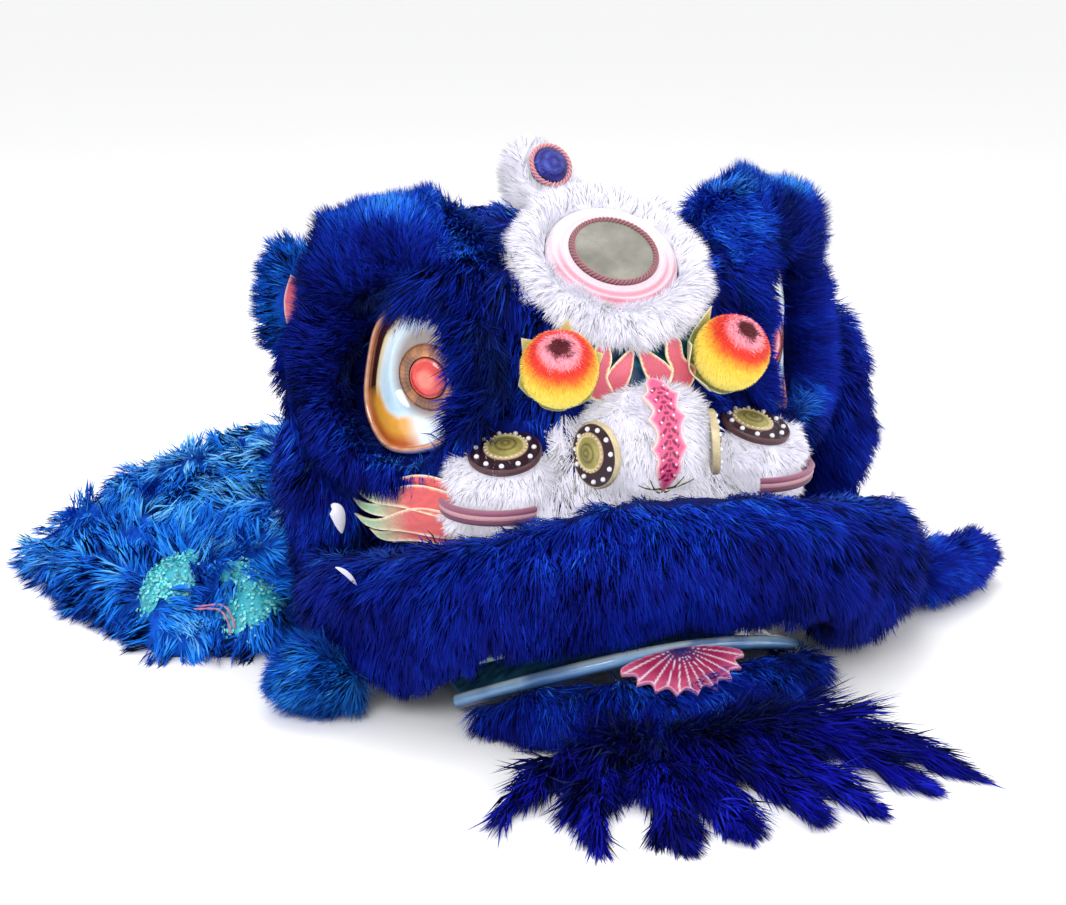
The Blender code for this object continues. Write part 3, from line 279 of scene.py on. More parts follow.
def palette_colours(palette, shade, along, root_shade):
    """Colours of strands of these shades at a place along them, 0 at the root and 1 at the tip; they are
    darker towards the root, as painted shade, and a little lighter at the tip.
    """
    return np.minimum(between_stops(palette, shade) * (1 + root_shade * (along - 0.8)), 1.0)


def strands(
    name, body, roots, normals, directions, lengths, widths, shade, palette, material, rng, bend, kites,
    soft, root_shade, raised,
):
    """One mesh of flat strands: the first ones are kites bent at their middle, the rest single triangles."""
    count = len(roots)
    directions = unit(directions)
    middle = roots + directions * (lengths * KNEE)[:, None]
    tips = middle + unit(directions + bend) * (lengths * BEYOND_KNEE)[:, None]
    side = unit(np.cross(directions, normals) + rng.normal(size=(count, 3)) * 1e-4)
    over = unit(np.cross(side, directions))
    turn = rng.uniform(-STRAND_TURN, STRAND_TURN, count)[:, None]
    half = (side * np.cos(turn) + over * np.sin(turn)) * (widths / 2)[:, None]

    column = np.clip((np.clip(shade, 0, 1) * COLUMNS).astype(int), 0, COLUMNS - 1)
    level = (column + 0.5) / COLUMNS
    base, belly, end = (palette_colours(palette, level, along, root_shade) for along in (0.0, 0.5, 1.0))
    low, mid, high = 0.02, 0.5, 0.98  # where ends and middle lie, up the column of their shade
    edge = 0.35 / COLUMNS
    groups = [
        (slice(0, kites), (roots, middle - half, middle + half, tips), (base, belly, belly, end),
         ((0, low), (-edge, mid), (edge, mid), (0, high)), (0, 1, 2, 2, 1, 3)),
        (slice(kites, count), (roots - half * STRAND_FOOT, roots + half * STRAND_FOOT, tips),
         (base, base, end), ((-edge, low), (edge, low), (0, high)), (0, 1, 2)),
    ]
    points, paint, shading, flat, loops, total = [], [], [], [], [], 0
    for part, corners, colours, places, order in groups:
        corner = np.stack([c[part] for c in corners], axis=1)
        number, size = corner.shape[:2]
        if not number:
            continue
        face = unit(np.cross(corner[:, 1] - corner[:, 0], corner[:, -1] - corner[:, 0]))
        wrong = (face * normals[part]).sum(axis=1) < 0
        first = size - 3
        corner[wrong, first], corner[wrong, first + 1] = (
            corner[wrong, first + 1].copy(), corner[wrong, first].copy())
        face[wrong] *= -1
        shaded = unit(unit(normals[part] + np.array([0, 0, raised])) * soft + face * (1 - soft))
        points.append(corner.reshape(-1, 3))
        paint.append(np.stack([c[part] for c in colours], axis=1).reshape(-1, 3))
        shading.append(np.repeat(shaded, size, axis=0))
        where = np.stack([np.stack([level[part] + u, np.full(number, v)], axis=1) for u, v in places], axis=1)
        flat.append(where.reshape(-1, 2))
        loops.append((total + np.arange(number)[:, None] * size + np.array(order)[None]).ravel())
        total += number * size
    points, paint, shading, flat = (np.concatenate(rows) for rows in (points, paint, shading, flat))
    points[:, 2] = np.maximum(points[:, 2], FLOOR_GAP)
    loops = np.concatenate(loops).astype(np.int32)
    mesh = bpy.data.meshes.new(name)
    mesh.vertices.add(total)
    mesh.vertices.foreach_set("co", points.astype(np.float32).ravel())
    mesh.loops.add(len(loops))
    mesh.loops.foreach_set("vertex_index", loops)
    mesh.polygons.add(len(loops) // 3)
    mesh.polygons.foreach_set("loop_start", np.arange(0, len(loops), 3, dtype=np.int32))
    mesh.polygons.foreach_set("use_smooth", np.ones(len(loops) // 3, dtype=bool))
    mesh.update(calc_edges=True)
    layer = mesh.attributes.new("strand_colour", "FLOAT_COLOR", "POINT")
    layer.data.foreach_set("color", np.c_[paint, np.ones(total)].astype(np.float32).ravel())
    uv = mesh.uv_layers.new(name="OFBake")
    uv.data.foreach_set("uv", flat[loops].astype(np.float32).ravel())
    mesh.normals_split_custom_set_from_vertices(shading.astype(np.float32))
    mesh.materials.append(material)
    obj = link(bpy.data.objects.new(name, mesh))
    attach(obj, body)
    return obj


def skin_of(objects):
    """A ray-casting tree of these objects' surfaces."""
    points, tris, total = [], [], 0
    for obj in objects:
        corners, faces, _ = arrays_of(obj)
        points.append(corners)
        tris.append(faces + total)
        total += len(corners)
    corners = [Vector(p) for p in np.concatenate(points).tolist()]
    return BVHTree.FromPolygons(corners, np.concatenate(tris).tolist())


def covered(points, normals, objects):
    """Whether a ray out of each point soon meets one of these objects."""
    skin = skin_of(objects)
    hits = [skin.ray_cast(Vector(p), Vector(n), HIDDEN_WITHIN)[0] for p, n in zip(points, normals)]
    return np.array([hit is not None for hit in hits])


def tree_of(points):
    tree = KDTree(len(points))
    for i, p in enumerate(points):
        tree.insert(p, i)
    tree.balance()
    return tree


def surface_points(objects, count=1500):
    """A search tree of points spread over these objects."""
    rng = np.random.default_rng(7)
    return tree_of(np.concatenate([roots_on(obj, count, rng)[0] for obj in objects]))


def flattened(vectors, normals, share):
    """Vectors without a share of what sticks out of the skin."""
    return vectors - normals * (vectors * normals).sum(axis=1, keepdims=True) * share


def grow(
    name, node, on, counts, length, width, look, comb, lean=0.7, up=0.7, wander=0.35, frizz=0.14, clump=0.45,
    clump_size=40, seed=1, keep=None, droop=0.25, shade_at=None, ragged=0.35, soft=0.6, clear=(),
    clear_by=0.006, spread=0.016, taper=None, root_shade=0.5, vary=1.0, bare_of=(), raised=0.0, body="head",
):
    """Strands on an undercoat, combed one way, gathered in clumps and drooping at their tips.

    counts are the bent strands and the fine straight ones. look is their palette and material. comb
    gives the combed direction at each root, up is how far strands stand off the skin, lean how far
    they follow the comb, wander how much neighbouring strands turn together and frizz how much each
    turns alone. clump is how far tips draw together, and clump_size how many strands do. They keep
    clear_by off the objects in clear, and lean away from them as far as spread. vary is how much
    the shade wanders from shade_at. Roots under the objects in bare_of are left out. soft is how
    far strands are shaded as the skin is, and raised turns that shading up to the light.
    """
    rng = np.random.default_rng(seed)
    count = sum(counts)
    roots, normals = roots_on(on, count, rng, keep)
    order = rng.permutation(count)
    roots, normals = roots[order], normals[order]
    kites = counts[0]
    if bare_of:
        stay = ~covered(roots, normals, bare_of)
        kites = int(stay[:kites].sum())
        roots, normals = roots[stay], normals[stay]
        count = len(roots)
    push = np.zeros((count, 3))
    if clear:
        tree = surface_points(clear)
        found = [tree.find(p) for p in roots]
        gap = np.array([f[2] for f in found])
        off = unit(roots - np.array([f[0] for f in found]))
        push = off * np.clip(MOST_PUSH * (1 - (gap - clear_by) / spread), 0, MOST_PUSH)[:, None]
        push = flattened(push, normals, 0.7)
        stay = gap > clear_by
        kites = int(stay[:kites].sum())
        roots, normals, push = roots[stay], normals[stay], push[stay]
        count = len(roots)
    combed = flattened(comb(roots, normals), normals, 0.8)
    swirl = wave_noise(roots, 0.045, seed + 10) * wander + wave_noise(roots, 0.016, seed + 20) * wander * 0.6
    directions = unit(normals * up + unit(combed) * lean + swirl + push)
    uneven = 1 + 0.15 * wave_noise(roots, 0.03, seed + 30, 1)[:, 0]
    lengths = length * (1 - ragged * rng.uniform(size=count) ** 1.5) * uneven
    if taper is not None:
        lengths = lengths * taper(roots)

    heads = rng.choice(count, max(count // clump_size, 8), replace=False)
    tree = tree_of(roots[heads])
    group = np.array([tree.find(p)[1] for p in roots])
    nearest = heads[group]
    goal = roots[nearest] + unit(directions[nearest]) * lengths[:, None]
    away = roots + directions * lengths[:, None]
    directions = unit(away + (goal - away) * clump - roots) + rng.normal(size=(count, 3)) * frizz
    tone = 0.18 * wave_noise(roots, 0.05, seed + 40, 1)[:, 0] + 0.16 * rng.uniform(-1, 1, len(heads))[group]
    shade = MIDDLE_SHADE + vary * (tone + 0.12 * rng.normal(size=count))
    if shade_at is not None:
        shade = shade + shade_at(roots, normals)
    bend = np.array([0, 0, -droop]) + unit(combed) * droop * 0.6 + rng.normal(size=(count, 3)) * 0.16
    widths = width * rng.uniform(0.75, 1.25, count)
    obj = strands(
        name, body, roots, normals, directions, lengths, widths, shade, *look, rng, bend, kites, soft,
        root_shade, raised,
    )
    if node:
        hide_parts(node)
    return obj


def furred(stem, node, coat_values, *strand_values, side="", body="head", **settings):
    """An undercoat on a solid and the strands on it, named after the stem. Returns the undercoat."""
    tail = "_" + side if side else ""
    coat = undercoat(stem + "_undercoat" + tail, node + tail, *coat_values, body=body)
    grow(stem + "_strands" + tail, node + tail, coat, *strand_values, body=body, **settings)
    return coat


def away_from(point):
    """A comb that runs away from a point."""
    point = np.array(point) + HEAD

    def comb(roots, normals):
        return unit(roots - point)

    return comb


def along(direction):
    direction = np.array(direction, dtype=float)
    return lambda roots, normals: np.repeat(unit(direction)[None], len(roots), axis=0)


def outer(depth=-0.25, floor=0.004):
    """Keeps strands off the side that faces the dome's middle, and off the underside on the floor."""
    middle = HEAD + np.array([0.0, 0.02, 0.25])

    def keep(points, facing):
        out = unit(points - middle)
        return ((out * facing).sum(axis=1) > depth) * ((points[:, 2] > floor) | (facing[:, 2] > -0.6))

    return keep


def lit_from_above(amount, base=0.0):
    """Strands that face up are lighter."""
    return lambda roots, normals: base + amount * (np.clip(normals[:, 2], 0, 1) ** 2 - 0.25)


# The head's surface, as packed, to lay flat trim on

SECTIONS = [  # height, half width, front, back, where it is widest, squareness
    (0.000, 0.218, -0.222, 0.240, 0.03, 2.3),
    (0.135, 0.264, -0.268, 0.258, 0.04, 2.4),
    (0.200, 0.278, -0.274, 0.260, 0.05, 2.3),
    (0.265, 0.284, -0.262, 0.260, 0.05, 2.1),
    (0.330, 0.284, -0.240, 0.256, 0.05, 1.9),
    (0.390, 0.272, -0.224, 0.240, 0.04, 1.8),
    (0.435, 0.244, -0.206, 0.212, 0.03, 1.9),
    (0.470, 0.196, -0.172, 0.168, 0.01, 2.0),
    (0.496, 0.130, -0.112, 0.108, 0.00, 2.0),
    (0.508, 0.060, -0.050, 0.052, 0.00, 2.0),
]
BROW = (math.radians(47), 0.425, 0.034, math.radians(30), 0.055)  # turn, height, lift and both spreads
EYE_TURN = math.radians(54)
EYE_HEIGHT = 0.360
EYE_OUTLINE = [
    (0.020, 0.090), (-0.020, 0.066), (-0.046, 0.030), (-0.060, -0.022), (-0.054, -0.062),
    (-0.028, -0.086), (0.020, -0.082), (0.066, -0.058), (0.086, 0.004), (0.064, 0.058),
]
IRIS_ACROSS = 0.037
IRIS_RADIUS = 0.0242
IRIS_RING_RADIUS = 0.039


def between(rows, place, closed=False):
    """Reads a smooth curve through the rows at place, from 0 to 1."""
    count = len(rows)
    along_it = place * (count if closed else count - 1)
    low = min(int(along_it), count - 1 if closed else count - 2)
    part = along_it - low
    near = [rows[(low + k) % count] if closed else rows[max(0, min(count - 1, low + k))]
            for k in (-1, 0, 1, 2)]
    weights = (
        (-part + 2 * part**2 - part**3) / 2,
        (2 - 5 * part**2 + 3 * part**3) / 2,
        (part + 4 * part**2 - 3 * part**3) / 2,
        (-(part**2) + part**3) / 2,
    )
    return np.array(weights) @ np.array(near)


def head_point(turn, height, lift=0.0):
    """A point over the head's outer surface. turn is 0 at the nose and grows towards +X."""
    heights = [row[0] for row in SECTIONS]
    height = max(heights[0], min(heights[-1], height))
    low = max(i for i in range(len(heights) - 1) if heights[i] <= height)
    part = (height - heights[low]) / (heights[low + 1] - heights[low])
    _, half_width, front, behind, widest, squareness = between(SECTIONS, (low + part) / (len(heights) - 1))
    across, ahead = (math.copysign(abs(v) ** (2 / squareness), v) for v in (math.sin(turn), math.cos(turn)))
    depth = widest - front if ahead > 0 else behind - widest
    point = np.array([half_width * across, widest - depth * ahead, height])
    brow = BROW[2] * math.exp(
        -(((abs(math.remainder(turn, math.tau)) - BROW[0]) / BROW[3]) ** 2)
        - ((height - BROW[1]) / BROW[4]) ** 2
    )
    point += unit(np.array([math.sin(turn), -math.cos(turn), 0.9])) * brow
    if lift:
        round_it = head_point(turn + 0.01, height) - head_point(turn - 0.01, height)
        up_it = head_point(turn, height + 0.005) - head_point(turn, height - 0.005)
        point += unit(np.cross(round_it, up_it)) * lift
    return point


def turn_at(x):
    """The turn at which the muzzle is this far from the middle."""
    return math.asin((x / SECTIONS[2][1]) ** (SECTIONS[2][5] / 2))


def frame_towards(axis, up=(0, 0, 1)):
    """A matrix whose columns are across, up and the axis."""
    axis = unit(np.array(axis, dtype=float))
    across = unit(np.cross(np.array(up, dtype=float), axis))
    return np.stack([across, np.cross(axis, across), axis], axis=1)


# Trim


def made(name, material, shapes, crease=50, body="head"):
    """One object of (points, faces, colours) shapes from the head's middle, sharp over crease degrees."""
    points, faces, colours, total = [], [], [], 0
    for corners, rows, tints in shapes:
        corners = np.asarray(corners, dtype=float)
        faces += [tuple(int(i) + total for i in row) for row in rows]
        points.append(corners)
        colours.append(np.broadcast_to(np.asarray(tints, dtype=float), corners.shape))
        total += len(corners)
    mesh = bpy.data.meshes.new(name)
    mesh.from_pydata((np.concatenate(points) + HEAD).tolist(), [], faces)
    layer = mesh.attributes.new("paint", "FLOAT_COLOR", "POINT")
    layer.data.foreach_set("color", np.c_[np.concatenate(colours), np.ones(total)].astype(np.float32).ravel())
    bm = bmesh.new()
    bm.from_mesh(mesh)
    bmesh.ops.recalc_face_normals(bm, faces=bm.faces)
    bm.to_mesh(mesh)
    bm.free()
    mesh.shade_smooth()
    mesh.set_sharp_from_angle(angle=math.radians(crease))
    mesh.materials.append(material)
    obj = link(bpy.data.objects.new(name, mesh))
    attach(obj, body)
    return obj


def stands_for(obj, *names):
    for name in names:
        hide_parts(name)
    return obj


def painted(name, roughness=0.4, scale=400, bump=0.25, depth=0.0006, vary=0.16, **sockets):
    """A surface painted by the mesh's own colours, a little uneven, over fine relief."""
    mat, tree, shader = new_material(name, roughness, **sockets)
    paint = tree.nodes.new("ShaderNodeAttribute")
    paint.attribute_name = "paint"
    noise = noise_node(tree, scale)
    shade = ramp_node(tree, [(0.25, (1 - vary,) * 3), (0.75, (1.0,) * 3)], noise)
    mix = tree.nodes.new("ShaderNodeMix")
    mix.data_type = "RGBA"
    mix.blend_type = "MULTIPLY"
    mix.inputs["Factor"].default_value = 1.0
    tree.links.new(paint.outputs["Color"], mix.inputs[6])
    tree.links.new(shade.outputs["Color"], mix.inputs[7])
    tree.links.new(mix.outputs[2], shader.inputs["Base Color"])
    add_bump(tree, shader, noise, bump, depth)
    return mat


def rings_to_faces(count, sides, closed):
    faces = []
    for i in range(count if closed else count - 1):
        here, there = i * sides, (i + 1) % count * sides
        for j in range(sides):
            after = (j + 1) % sides
            faces.append((here + j, here + after, there + after, there + j))
    if not closed:
        faces += [tuple(range(sides))[::-1], tuple((count - 1) * sides + j for j in range(sides))]
    return faces


def lathe(profile, foot, axis, sides=48, closed=False, colour=None):
    """Points, faces and colours of a turned form. The profile's rows have a radius, a height and,
    where there is no colour for the whole, their own.
    """
    turn = frame_towards(axis)
    angles = np.arange(sides) * math.tau / sides
    rings = [np.stack([r * np.cos(angles), r * np.sin(angles), np.full(sides, h)], axis=1)
             for r, h, *_ in profile]
    points = np.concatenate(rings) @ turn.T + np.array(foot)
    colours = np.repeat(np.array([row[2] if colour is None else colour for row in profile]), sides, axis=0)
    return points, rings_to_faces(len(profile), sides, closed), colours


def tube(line, radii, sides=6, closed=False, up=(0, 0, 1), squash=1.0, lobes=0, twist=0.0):
    """Points and faces of a tube along a line, flattened across up by squash, or twisted like a rope."""
    line = np.asarray(line, dtype=float)
    ahead = np.roll(line, -1, axis=0) - np.roll(line, 1, axis=0) if closed else np.gradient(line, axis=0)
    ahead = unit(ahead)
    side = unit(np.cross(ahead, np.array(up, dtype=float)))
    over = np.cross(side, ahead)
    radii = np.broadcast_to(radii, len(line))
    angles = np.arange(sides) * math.tau / sides
    rings = []
    for i in range(len(line)):
        reach = radii[i] * (1 + 0.24 * np.cos(lobes * (angles - twist * i)) if lobes else np.ones(sides))
        flat, tall = (
            np.outer(reach * np.cos(angles), side[i]), np.outer(reach * np.sin(angles) * squash, over[i]))
        rings.append(line[i] + flat + tall)
    return np.concatenate(rings), rings_to_faces(len(line), sides, closed)


def circle(centre, axis, radius, count, height=0.0):
    angles = np.arange(count) * math.tau / count
    ring = np.stack([radius * np.cos(angles), radius * np.sin(angles), np.full(count, height)], axis=1)
    return ring @ frame_towards(axis).T + np.array(centre)


def sphere(centre, radius, colour, sides, rows, axis=(1, 0, 0), blunt=0.03):
    """A ball as a turned form; blunt is the share of its radius that its poles keep."""
    turns = [math.pi * k / rows for k in range(rows + 1)]
    profile = [(radius * max(math.sin(a), blunt), -radius * math.cos(a)) for a in turns]
    return lathe(profile, centre, axis, sides, colour=colour)


def smooth_outline(points, step=0.002):
    """Points along a closed curve through the given ones; a third value of 1 marks a sharp corner."""
    flat = [np.array(p[:2], dtype=float) for p in points]
    sharp = [len(p) > 2 for p in points]
    count = len(points)
    line = []
    for i in range(count):
        after = (i + 1) % count
        first, second = flat[i], flat[after]
        before = first if sharp[i] else flat[i - 1]
        beyond = second if sharp[after] else flat[(i + 2) % count]
        pieces = max(2, int(np.linalg.norm(second - first) / step))
        for k in range(pieces):
            t = k / pieces
            line.append((2 * first + (second - before) * t
                         + (2 * before - 5 * first + 4 * second - beyond) * t**2
                         + (3 * first - before - 3 * second + beyond) * t**3) / 2)
    return np.array(line)


def edge_distance(points, outline):
    """How far each point is from the outline, and whether it lies inside."""
    start, end = outline, np.roll(outline, -1, axis=0)
    run = end - start
    offset = points[:, None] - start[None]
    share = np.clip((offset * run).sum(-1) / np.maximum((run**2).sum(-1), 1e-12), 0, 1)
    near = np.linalg.norm(offset - run * share[..., None], axis=-1).min(axis=1)
    crosses = (start[:, 1] > points[:, None, 1]) != (end[:, 1] > points[:, None, 1])
    steep = np.where(abs(run[:, 1]) < 1e-9, 1e-9, run[:, 1])
    at = start[:, 0] + (points[:, None, 1] - start[:, 1]) * run[:, 0] / steep
    return near, (crosses & (points[:, None, 0] < at)).sum(axis=1) % 2 == 1


def cut_out(points, place, paint, step=0.0025, thick=0.003, bead=0.0010, bow=None):
    """A flat shape with a raised edge, laid by place(x, y, lift) and coloured by paint(x, y, edge)."""
    outline = smooth_outline(points, step)
    low, high = outline.min(axis=0), outline.max(axis=0)
    grid = np.stack(np.meshgrid(np.arange(low[0], high[0], step), np.arange(low[1], high[1], step * 0.87)),
                    axis=-1)
    grid[1::2, :, 0] += step / 2
    grid = grid.reshape(-1, 2)
    near, inside = edge_distance(grid, outline)
    corners = np.concatenate([outline, grid[inside & (near > step * 0.6)]])
    count = len(outline)
    rim = [(i, (i + 1) % count) for i in range(count)]
    made_points, _, made_faces = delaunay_2d_cdt([Vector(p) for p in corners.tolist()], rim, [], 1, 1e-7)[:3]
    flat = np.array([p[:] for p in made_points])
    faces = [tuple(face) for face in made_faces]
    near, _ = edge_distance(flat, outline)
    lift = bead * np.exp(-((near - 0.0012) / 0.0011) ** 2)
    if bow is not None:
        lift = lift + bow(flat[:, 0], flat[:, 1])
    front = np.array([place(x, y, z + thick) for (x, y), z in zip(flat, lift)])
    rear = np.array([place(x, y, z) for (x, y), z in zip(flat, lift)])
    used = {(face[k], face[(k + 1) % 3]): True for face in faces for k in range(3)}
    total = len(flat)
    walls = [(b, a, a + total, b + total) for a, b in used if (b, a) not in used]
    behind = [tuple(i + total for i in face[::-1]) for face in faces]
    colours = paint(flat[:, 0], flat[:, 1], near)
    return np.concatenate([front, rear]), faces + behind + walls, np.concatenate([colours, colours * 0.7])


def blend_in(base, colour, mask):
    return base * (1 - mask[:, None]) + np.asarray(colour) * mask[:, None]


def soft_step(value, low, high):
    return np.clip((value - low) / (high - low), 0, 1)


def layered(count, base, *layers):
    """Colours of count points: a display colour, with (display colour, mask) layers blended in one by one."""
    colours = np.repeat(srgb(*base)[None], count, axis=0)
    for tint, mask in layers:
        colours = blend_in(colours, srgb(*tint), mask)
    return colours


CREAM = (250, 240, 195)
trim_paint = painted("trim_paint", 0.35, 350, 0.2, Coat_Weight=0.25)
felt = painted("felt", 0.85, 700, 0.5, 0.0008, 0.28, Sheen_Weight=0.4)

# Eyes

EYE_MIDDLE = 0.012  # across, where the rings of the eyeball close
EYE_SPOKES = 104
EYE_DENT = 0.0115  # lift of the flat that the iris sits on
# Shares of the eye's outline: the dent lies within the first, the rim's paint outside the second.
EYEBALL_SHARE, RIM_SHARE = 0.90, 0.908
IRIS_LIFT = 0.012
EYE_ROWS = [  # share of the outline, and lift
    (1.0, -0.004), (1.0, 0.0080), (0.990, 0.0108), (0.975, 0.0120), (0.955, 0.0124), (0.935, 0.0116),
    (0.920, 0.0098), (0.912, 0.0084), *[(s, 0.0060 + 0.0130 * (1 - s * s))
                                        for s in np.linspace(0.905, 0.02, 44)],
]
eye_paint = painted("eye_paint", 0.12, 120, 0.05, 0.0004, 0.10, Coat_Weight=0.8, Coat_Roughness=0.05)
iris_paint = painted("iris_paint", 0.10, 260, 0.25, 0.0006, 0.25, Coat_Weight=0.9, Coat_Roughness=0.04)


def eye_place(sign):
    step = 0.02
    length = np.linalg.norm(head_point(EYE_TURN + step, EYE_HEIGHT) - head_point(EYE_TURN, EYE_HEIGHT)) / step

    def place(across, up, lift):
        return head_point(EYE_TURN - across / length, EYE_HEIGHT + up, lift) * np.array([sign, 1, 1])

    return place


def round_iris(across, up, margin):
    """1 on the iris, falling to 0 over a margin outside it."""
    return soft_step(np.hypot(across - IRIS_ACROSS, up), IRIS_RING_RADIUS + margin, IRIS_RING_RADIUS)


def eye_colours(across, up, share):
    """The painted eye: a pale crescent inside cream and a dark band, with a gold lobe low on the outside."""
    bearing = np.arctan2(up, across - EYE_MIDDLE)
    outside = soft_step(np.cos(bearing - math.radians(168)), -0.15, 0.35)
    lobe = soft_step(np.cos(bearing - math.radians(240)), 0.76, 0.92)
    streak = 0.5 + 0.5 * wave_noise(np.stack([across, up, share * 0.02], axis=1), 0.02, 17, 1)[:, 0]
    band = soft_step(share, 0.650, 0.680) * outside
    gold = lobe * soft_step(share + 0.04 * streak, 0.52, 0.60)
    return layered(
        len(across), (206, 228, 242),
        ((140, 190, 226), soft_step(up, 0.01, -0.07) * 0.75),
        ((240, 246, 250), soft_step(share, 0.45, 0.58) * 0.8),
        ((128, 92, 66), round_iris(across, up, 0.010) * 0.8),
        ((240, 226, 186), soft_step(share, 0.56, 0.60) * outside),
        ((66, 28, 20), band),
        ((112, 58, 40), band * soft_step(share, 0.80, 0.86) * streak),
        ((232, 166, 62), gold),
        ((206, 104, 44), gold * soft_step(share, 0.74, 0.86)),
    )


def rim_colours(bearing, share):
    """The eye's raised edge: orange-tan inside, then grey-blue."""
    return layered(
        len(bearing), (206, 122, 84),
        ((240, 190, 144), soft_step(share, 0.918, 0.934)),
        ((206, 128, 124), soft_step(share, 0.940, 0.952)),
        ((120, 140, 190), soft_step(share, 0.956, 0.974)),
        ((172, 118, 60), 0.22 + 0.22 * np.sin(bearing * 31)),
    )


for side, sign in SIDES.items():
    place = eye_place(sign)
    outline = np.array([between(EYE_OUTLINE, k / EYE_SPOKES, closed=True) for k in range(EYE_SPOKES)])
    points, colours = [], []
    for share, lift in EYE_ROWS:
        across = EYE_MIDDLE + (outline[:, 0] - EYE_MIDDLE) * share
        up = outline[:, 1] * share
        dent = round_iris(across, up, 0.009) * (share < EYEBALL_SHARE)
        points += [place(a, u, lift + (EYE_DENT - lift) * d) for a, u, d in zip(across, up, dent)]
        shares = np.full(EYE_SPOKES, share)
        if share > RIM_SHARE:
            colours.append(rim_colours(np.arctan2(up, across - EYE_MIDDLE), shares))
        else:
            colours.append(eye_colours(across, up, shares))
    eye = (points, rings_to_faces(len(EYE_ROWS), EYE_SPOKES, False), np.concatenate(colours))
    stands_for(made("eye_" + side, eye_paint, [eye], 60), "eyeball_" + side, "eye_rim_" + side)

    centre = place(IRIS_ACROSS, 0.0, IRIS_LIFT)
    axis = unit(place(IRIS_ACROSS, 0.0, 0.04) - place(IRIS_ACROSS, 0.0, 0.0))
    wide, narrow = IRIS_RING_RADIUS, IRIS_RADIUS
    points, faces, colours = lathe([
        (wide, 0.0), (wide, 0.0030), (wide - 0.0015, 0.0052), (wide - 0.0035, 0.0064),
        (wide - 0.0055, 0.0070), (wide - 0.0080, 0.0072), (wide - 0.0105, 0.0070),
        (narrow + 0.0045, 0.0064), (narrow + 0.0025, 0.0056),
        (narrow + 0.0004, 0.0050), (narrow + 0.0004, 0.0),
    ], centre, axis, 144, closed=True, colour=srgb(84, 38, 24))
    flat = (points - centre) @ frame_towards(axis)
    # Gold in streaks and fine grooves, and brighter gold on one upper side (lit): a painted highlight.
    lit = soft_step(np.cos(np.arctan2(flat[:, 1], flat[:, 0] * sign) - math.radians(140)), -0.3, 0.9)
    streak = 0.5 + 0.5 * wave_noise(points * np.array([1, 1, 0.6]), 0.012, 5, 1)[:, 0]
    fine = 0.5 + 0.5 * np.sin(np.arctan2(flat[:, 1], flat[:, 0]) * 38)
    gold_and_highlight = np.clip(0.18 + 0.72 * lit * streak + 0.35 * soft_step(streak, 0.55, 0.95) + 0.14 * fine - 0.10,
                    0, 1)
    ring = (points, faces, np.minimum(blend_in(colours, srgb(220, 142, 70), gold_and_highlight), 1))
    stands_for(made("iris_gold_" + side, iris_paint, [ring]), "iris_ring_" + side)
    # The coral cabochon: deep red at its foot and edge, partly its own darker edge and partly painted shade;
    # light rings at its shoulder and crown are painted highlights.
    coral, deep, light = srgb(232, 60, 54), srgb(120, 16, 24), srgb(244, 128, 112)
    points, faces, colours = lathe([
        (0.0005, 0.0, deep), (narrow, 0.0, deep), (narrow, 0.0030, deep), (narrow * 0.97, 0.0048, deep),
        (narrow * 0.90, 0.0068, light), (narrow * 0.78, 0.0086, coral), (narrow * 0.55, 0.0102, coral),
        (narrow * 0.3, 0.0110, light), (0.0005, 0.0114, light),
    ], centre, axis, 64)
    cabochon = (points, faces, colours * (0.85 + 0.2 * (0.5 + 0.5 * wave_noise(points, 0.01, 6, 1))))
    stands_for(made("iris_coral_" + side, iris_paint, [cabochon]), "iris_" + side)

# Forehead ornament

FOREHEAD = np.array([0.0, -0.150, 0.470])
FOREHEAD_AXIS = np.array([0.0, -math.cos(math.radians(55)), math.sin(math.radians(55))])
ROPE_LOBES, ROPE_SIDES = 3, 12
rope_paint = painted("rope", 0.5, 900, 0.6, 0.0006, 0.3, Sheen_Weight=0.3)


def rope_ring(name, centre, axis, radius, thick, height, light, dark, turns, count):
    """A cord of twisted strands laid in a ring, light on each strand's crest and dark in the grooves, partly
    its two colours and partly painted shade.
    """
    line = circle(centre, axis, radius, count, height)
    points, faces = tube(
        line, thick, ROPE_SIDES, closed=True, up=axis, lobes=ROPE_LOBES,
        twist=math.tau * turns / count / ROPE_LOBES,
    )
    around = np.tile(np.arange(ROPE_SIDES) * math.tau / ROPE_SIDES, count)
    twisted = np.repeat(np.arange(count), ROPE_SIDES) * math.tau * turns / count / ROPE_LOBES
    # Dark in the grooves between strands: in part painted shade.
    lay = np.cos(ROPE_LOBES * (around - twisted))
    colours = np.outer(0.5 + 0.5 * lay, srgb(*light)) + np.outer(0.5 - 0.5 * lay, srgb(*dark))
    return made(name, rope_paint, [(points, faces, colours)], 80)


rope = rope_ring("mirror_rope", FOREHEAD, FOREHEAD_AXIS, 0.0484, 0.0030, 0.0340, (170, 104, 112),
                 (92, 44, 56), 64, 320)
stands_for(rope, "mirror_rim")
glass, tree, shader = new_material("mirror_glass", 0.16, Metallic=0.85)
smear = noise_node(tree, 26, 5)
tint = ramp_node(tree, shades((0.3, 138, 136, 126), (0.6, 168, 166, 156), (0.75, 184, 182, 174)), smear)
tree.links.new(tint.outputs["Color"], shader.inputs["Base Color"])
gloss = ramp_node(tree, [(0.3, (0.14,) * 3), (0.7, (0.30,) * 3)], smear)
tree.links.new(gloss.outputs["Color"], shader.inputs["Roughness"])
mirror = lathe([
    (0.0005, 0.0316), (0.0462, 0.0316), (0.0464, 0.0335), (0.0459, 0.0345), (0.030, 0.0352), (0.015, 0.0362),
    (0.0005, 0.0366),
], FOREHEAD, FOREHEAD_AXIS, 72, colour=srgb(180, 180, 172))
stands_for(made("mirror_glass", glass, [mirror], 35), "mirror")

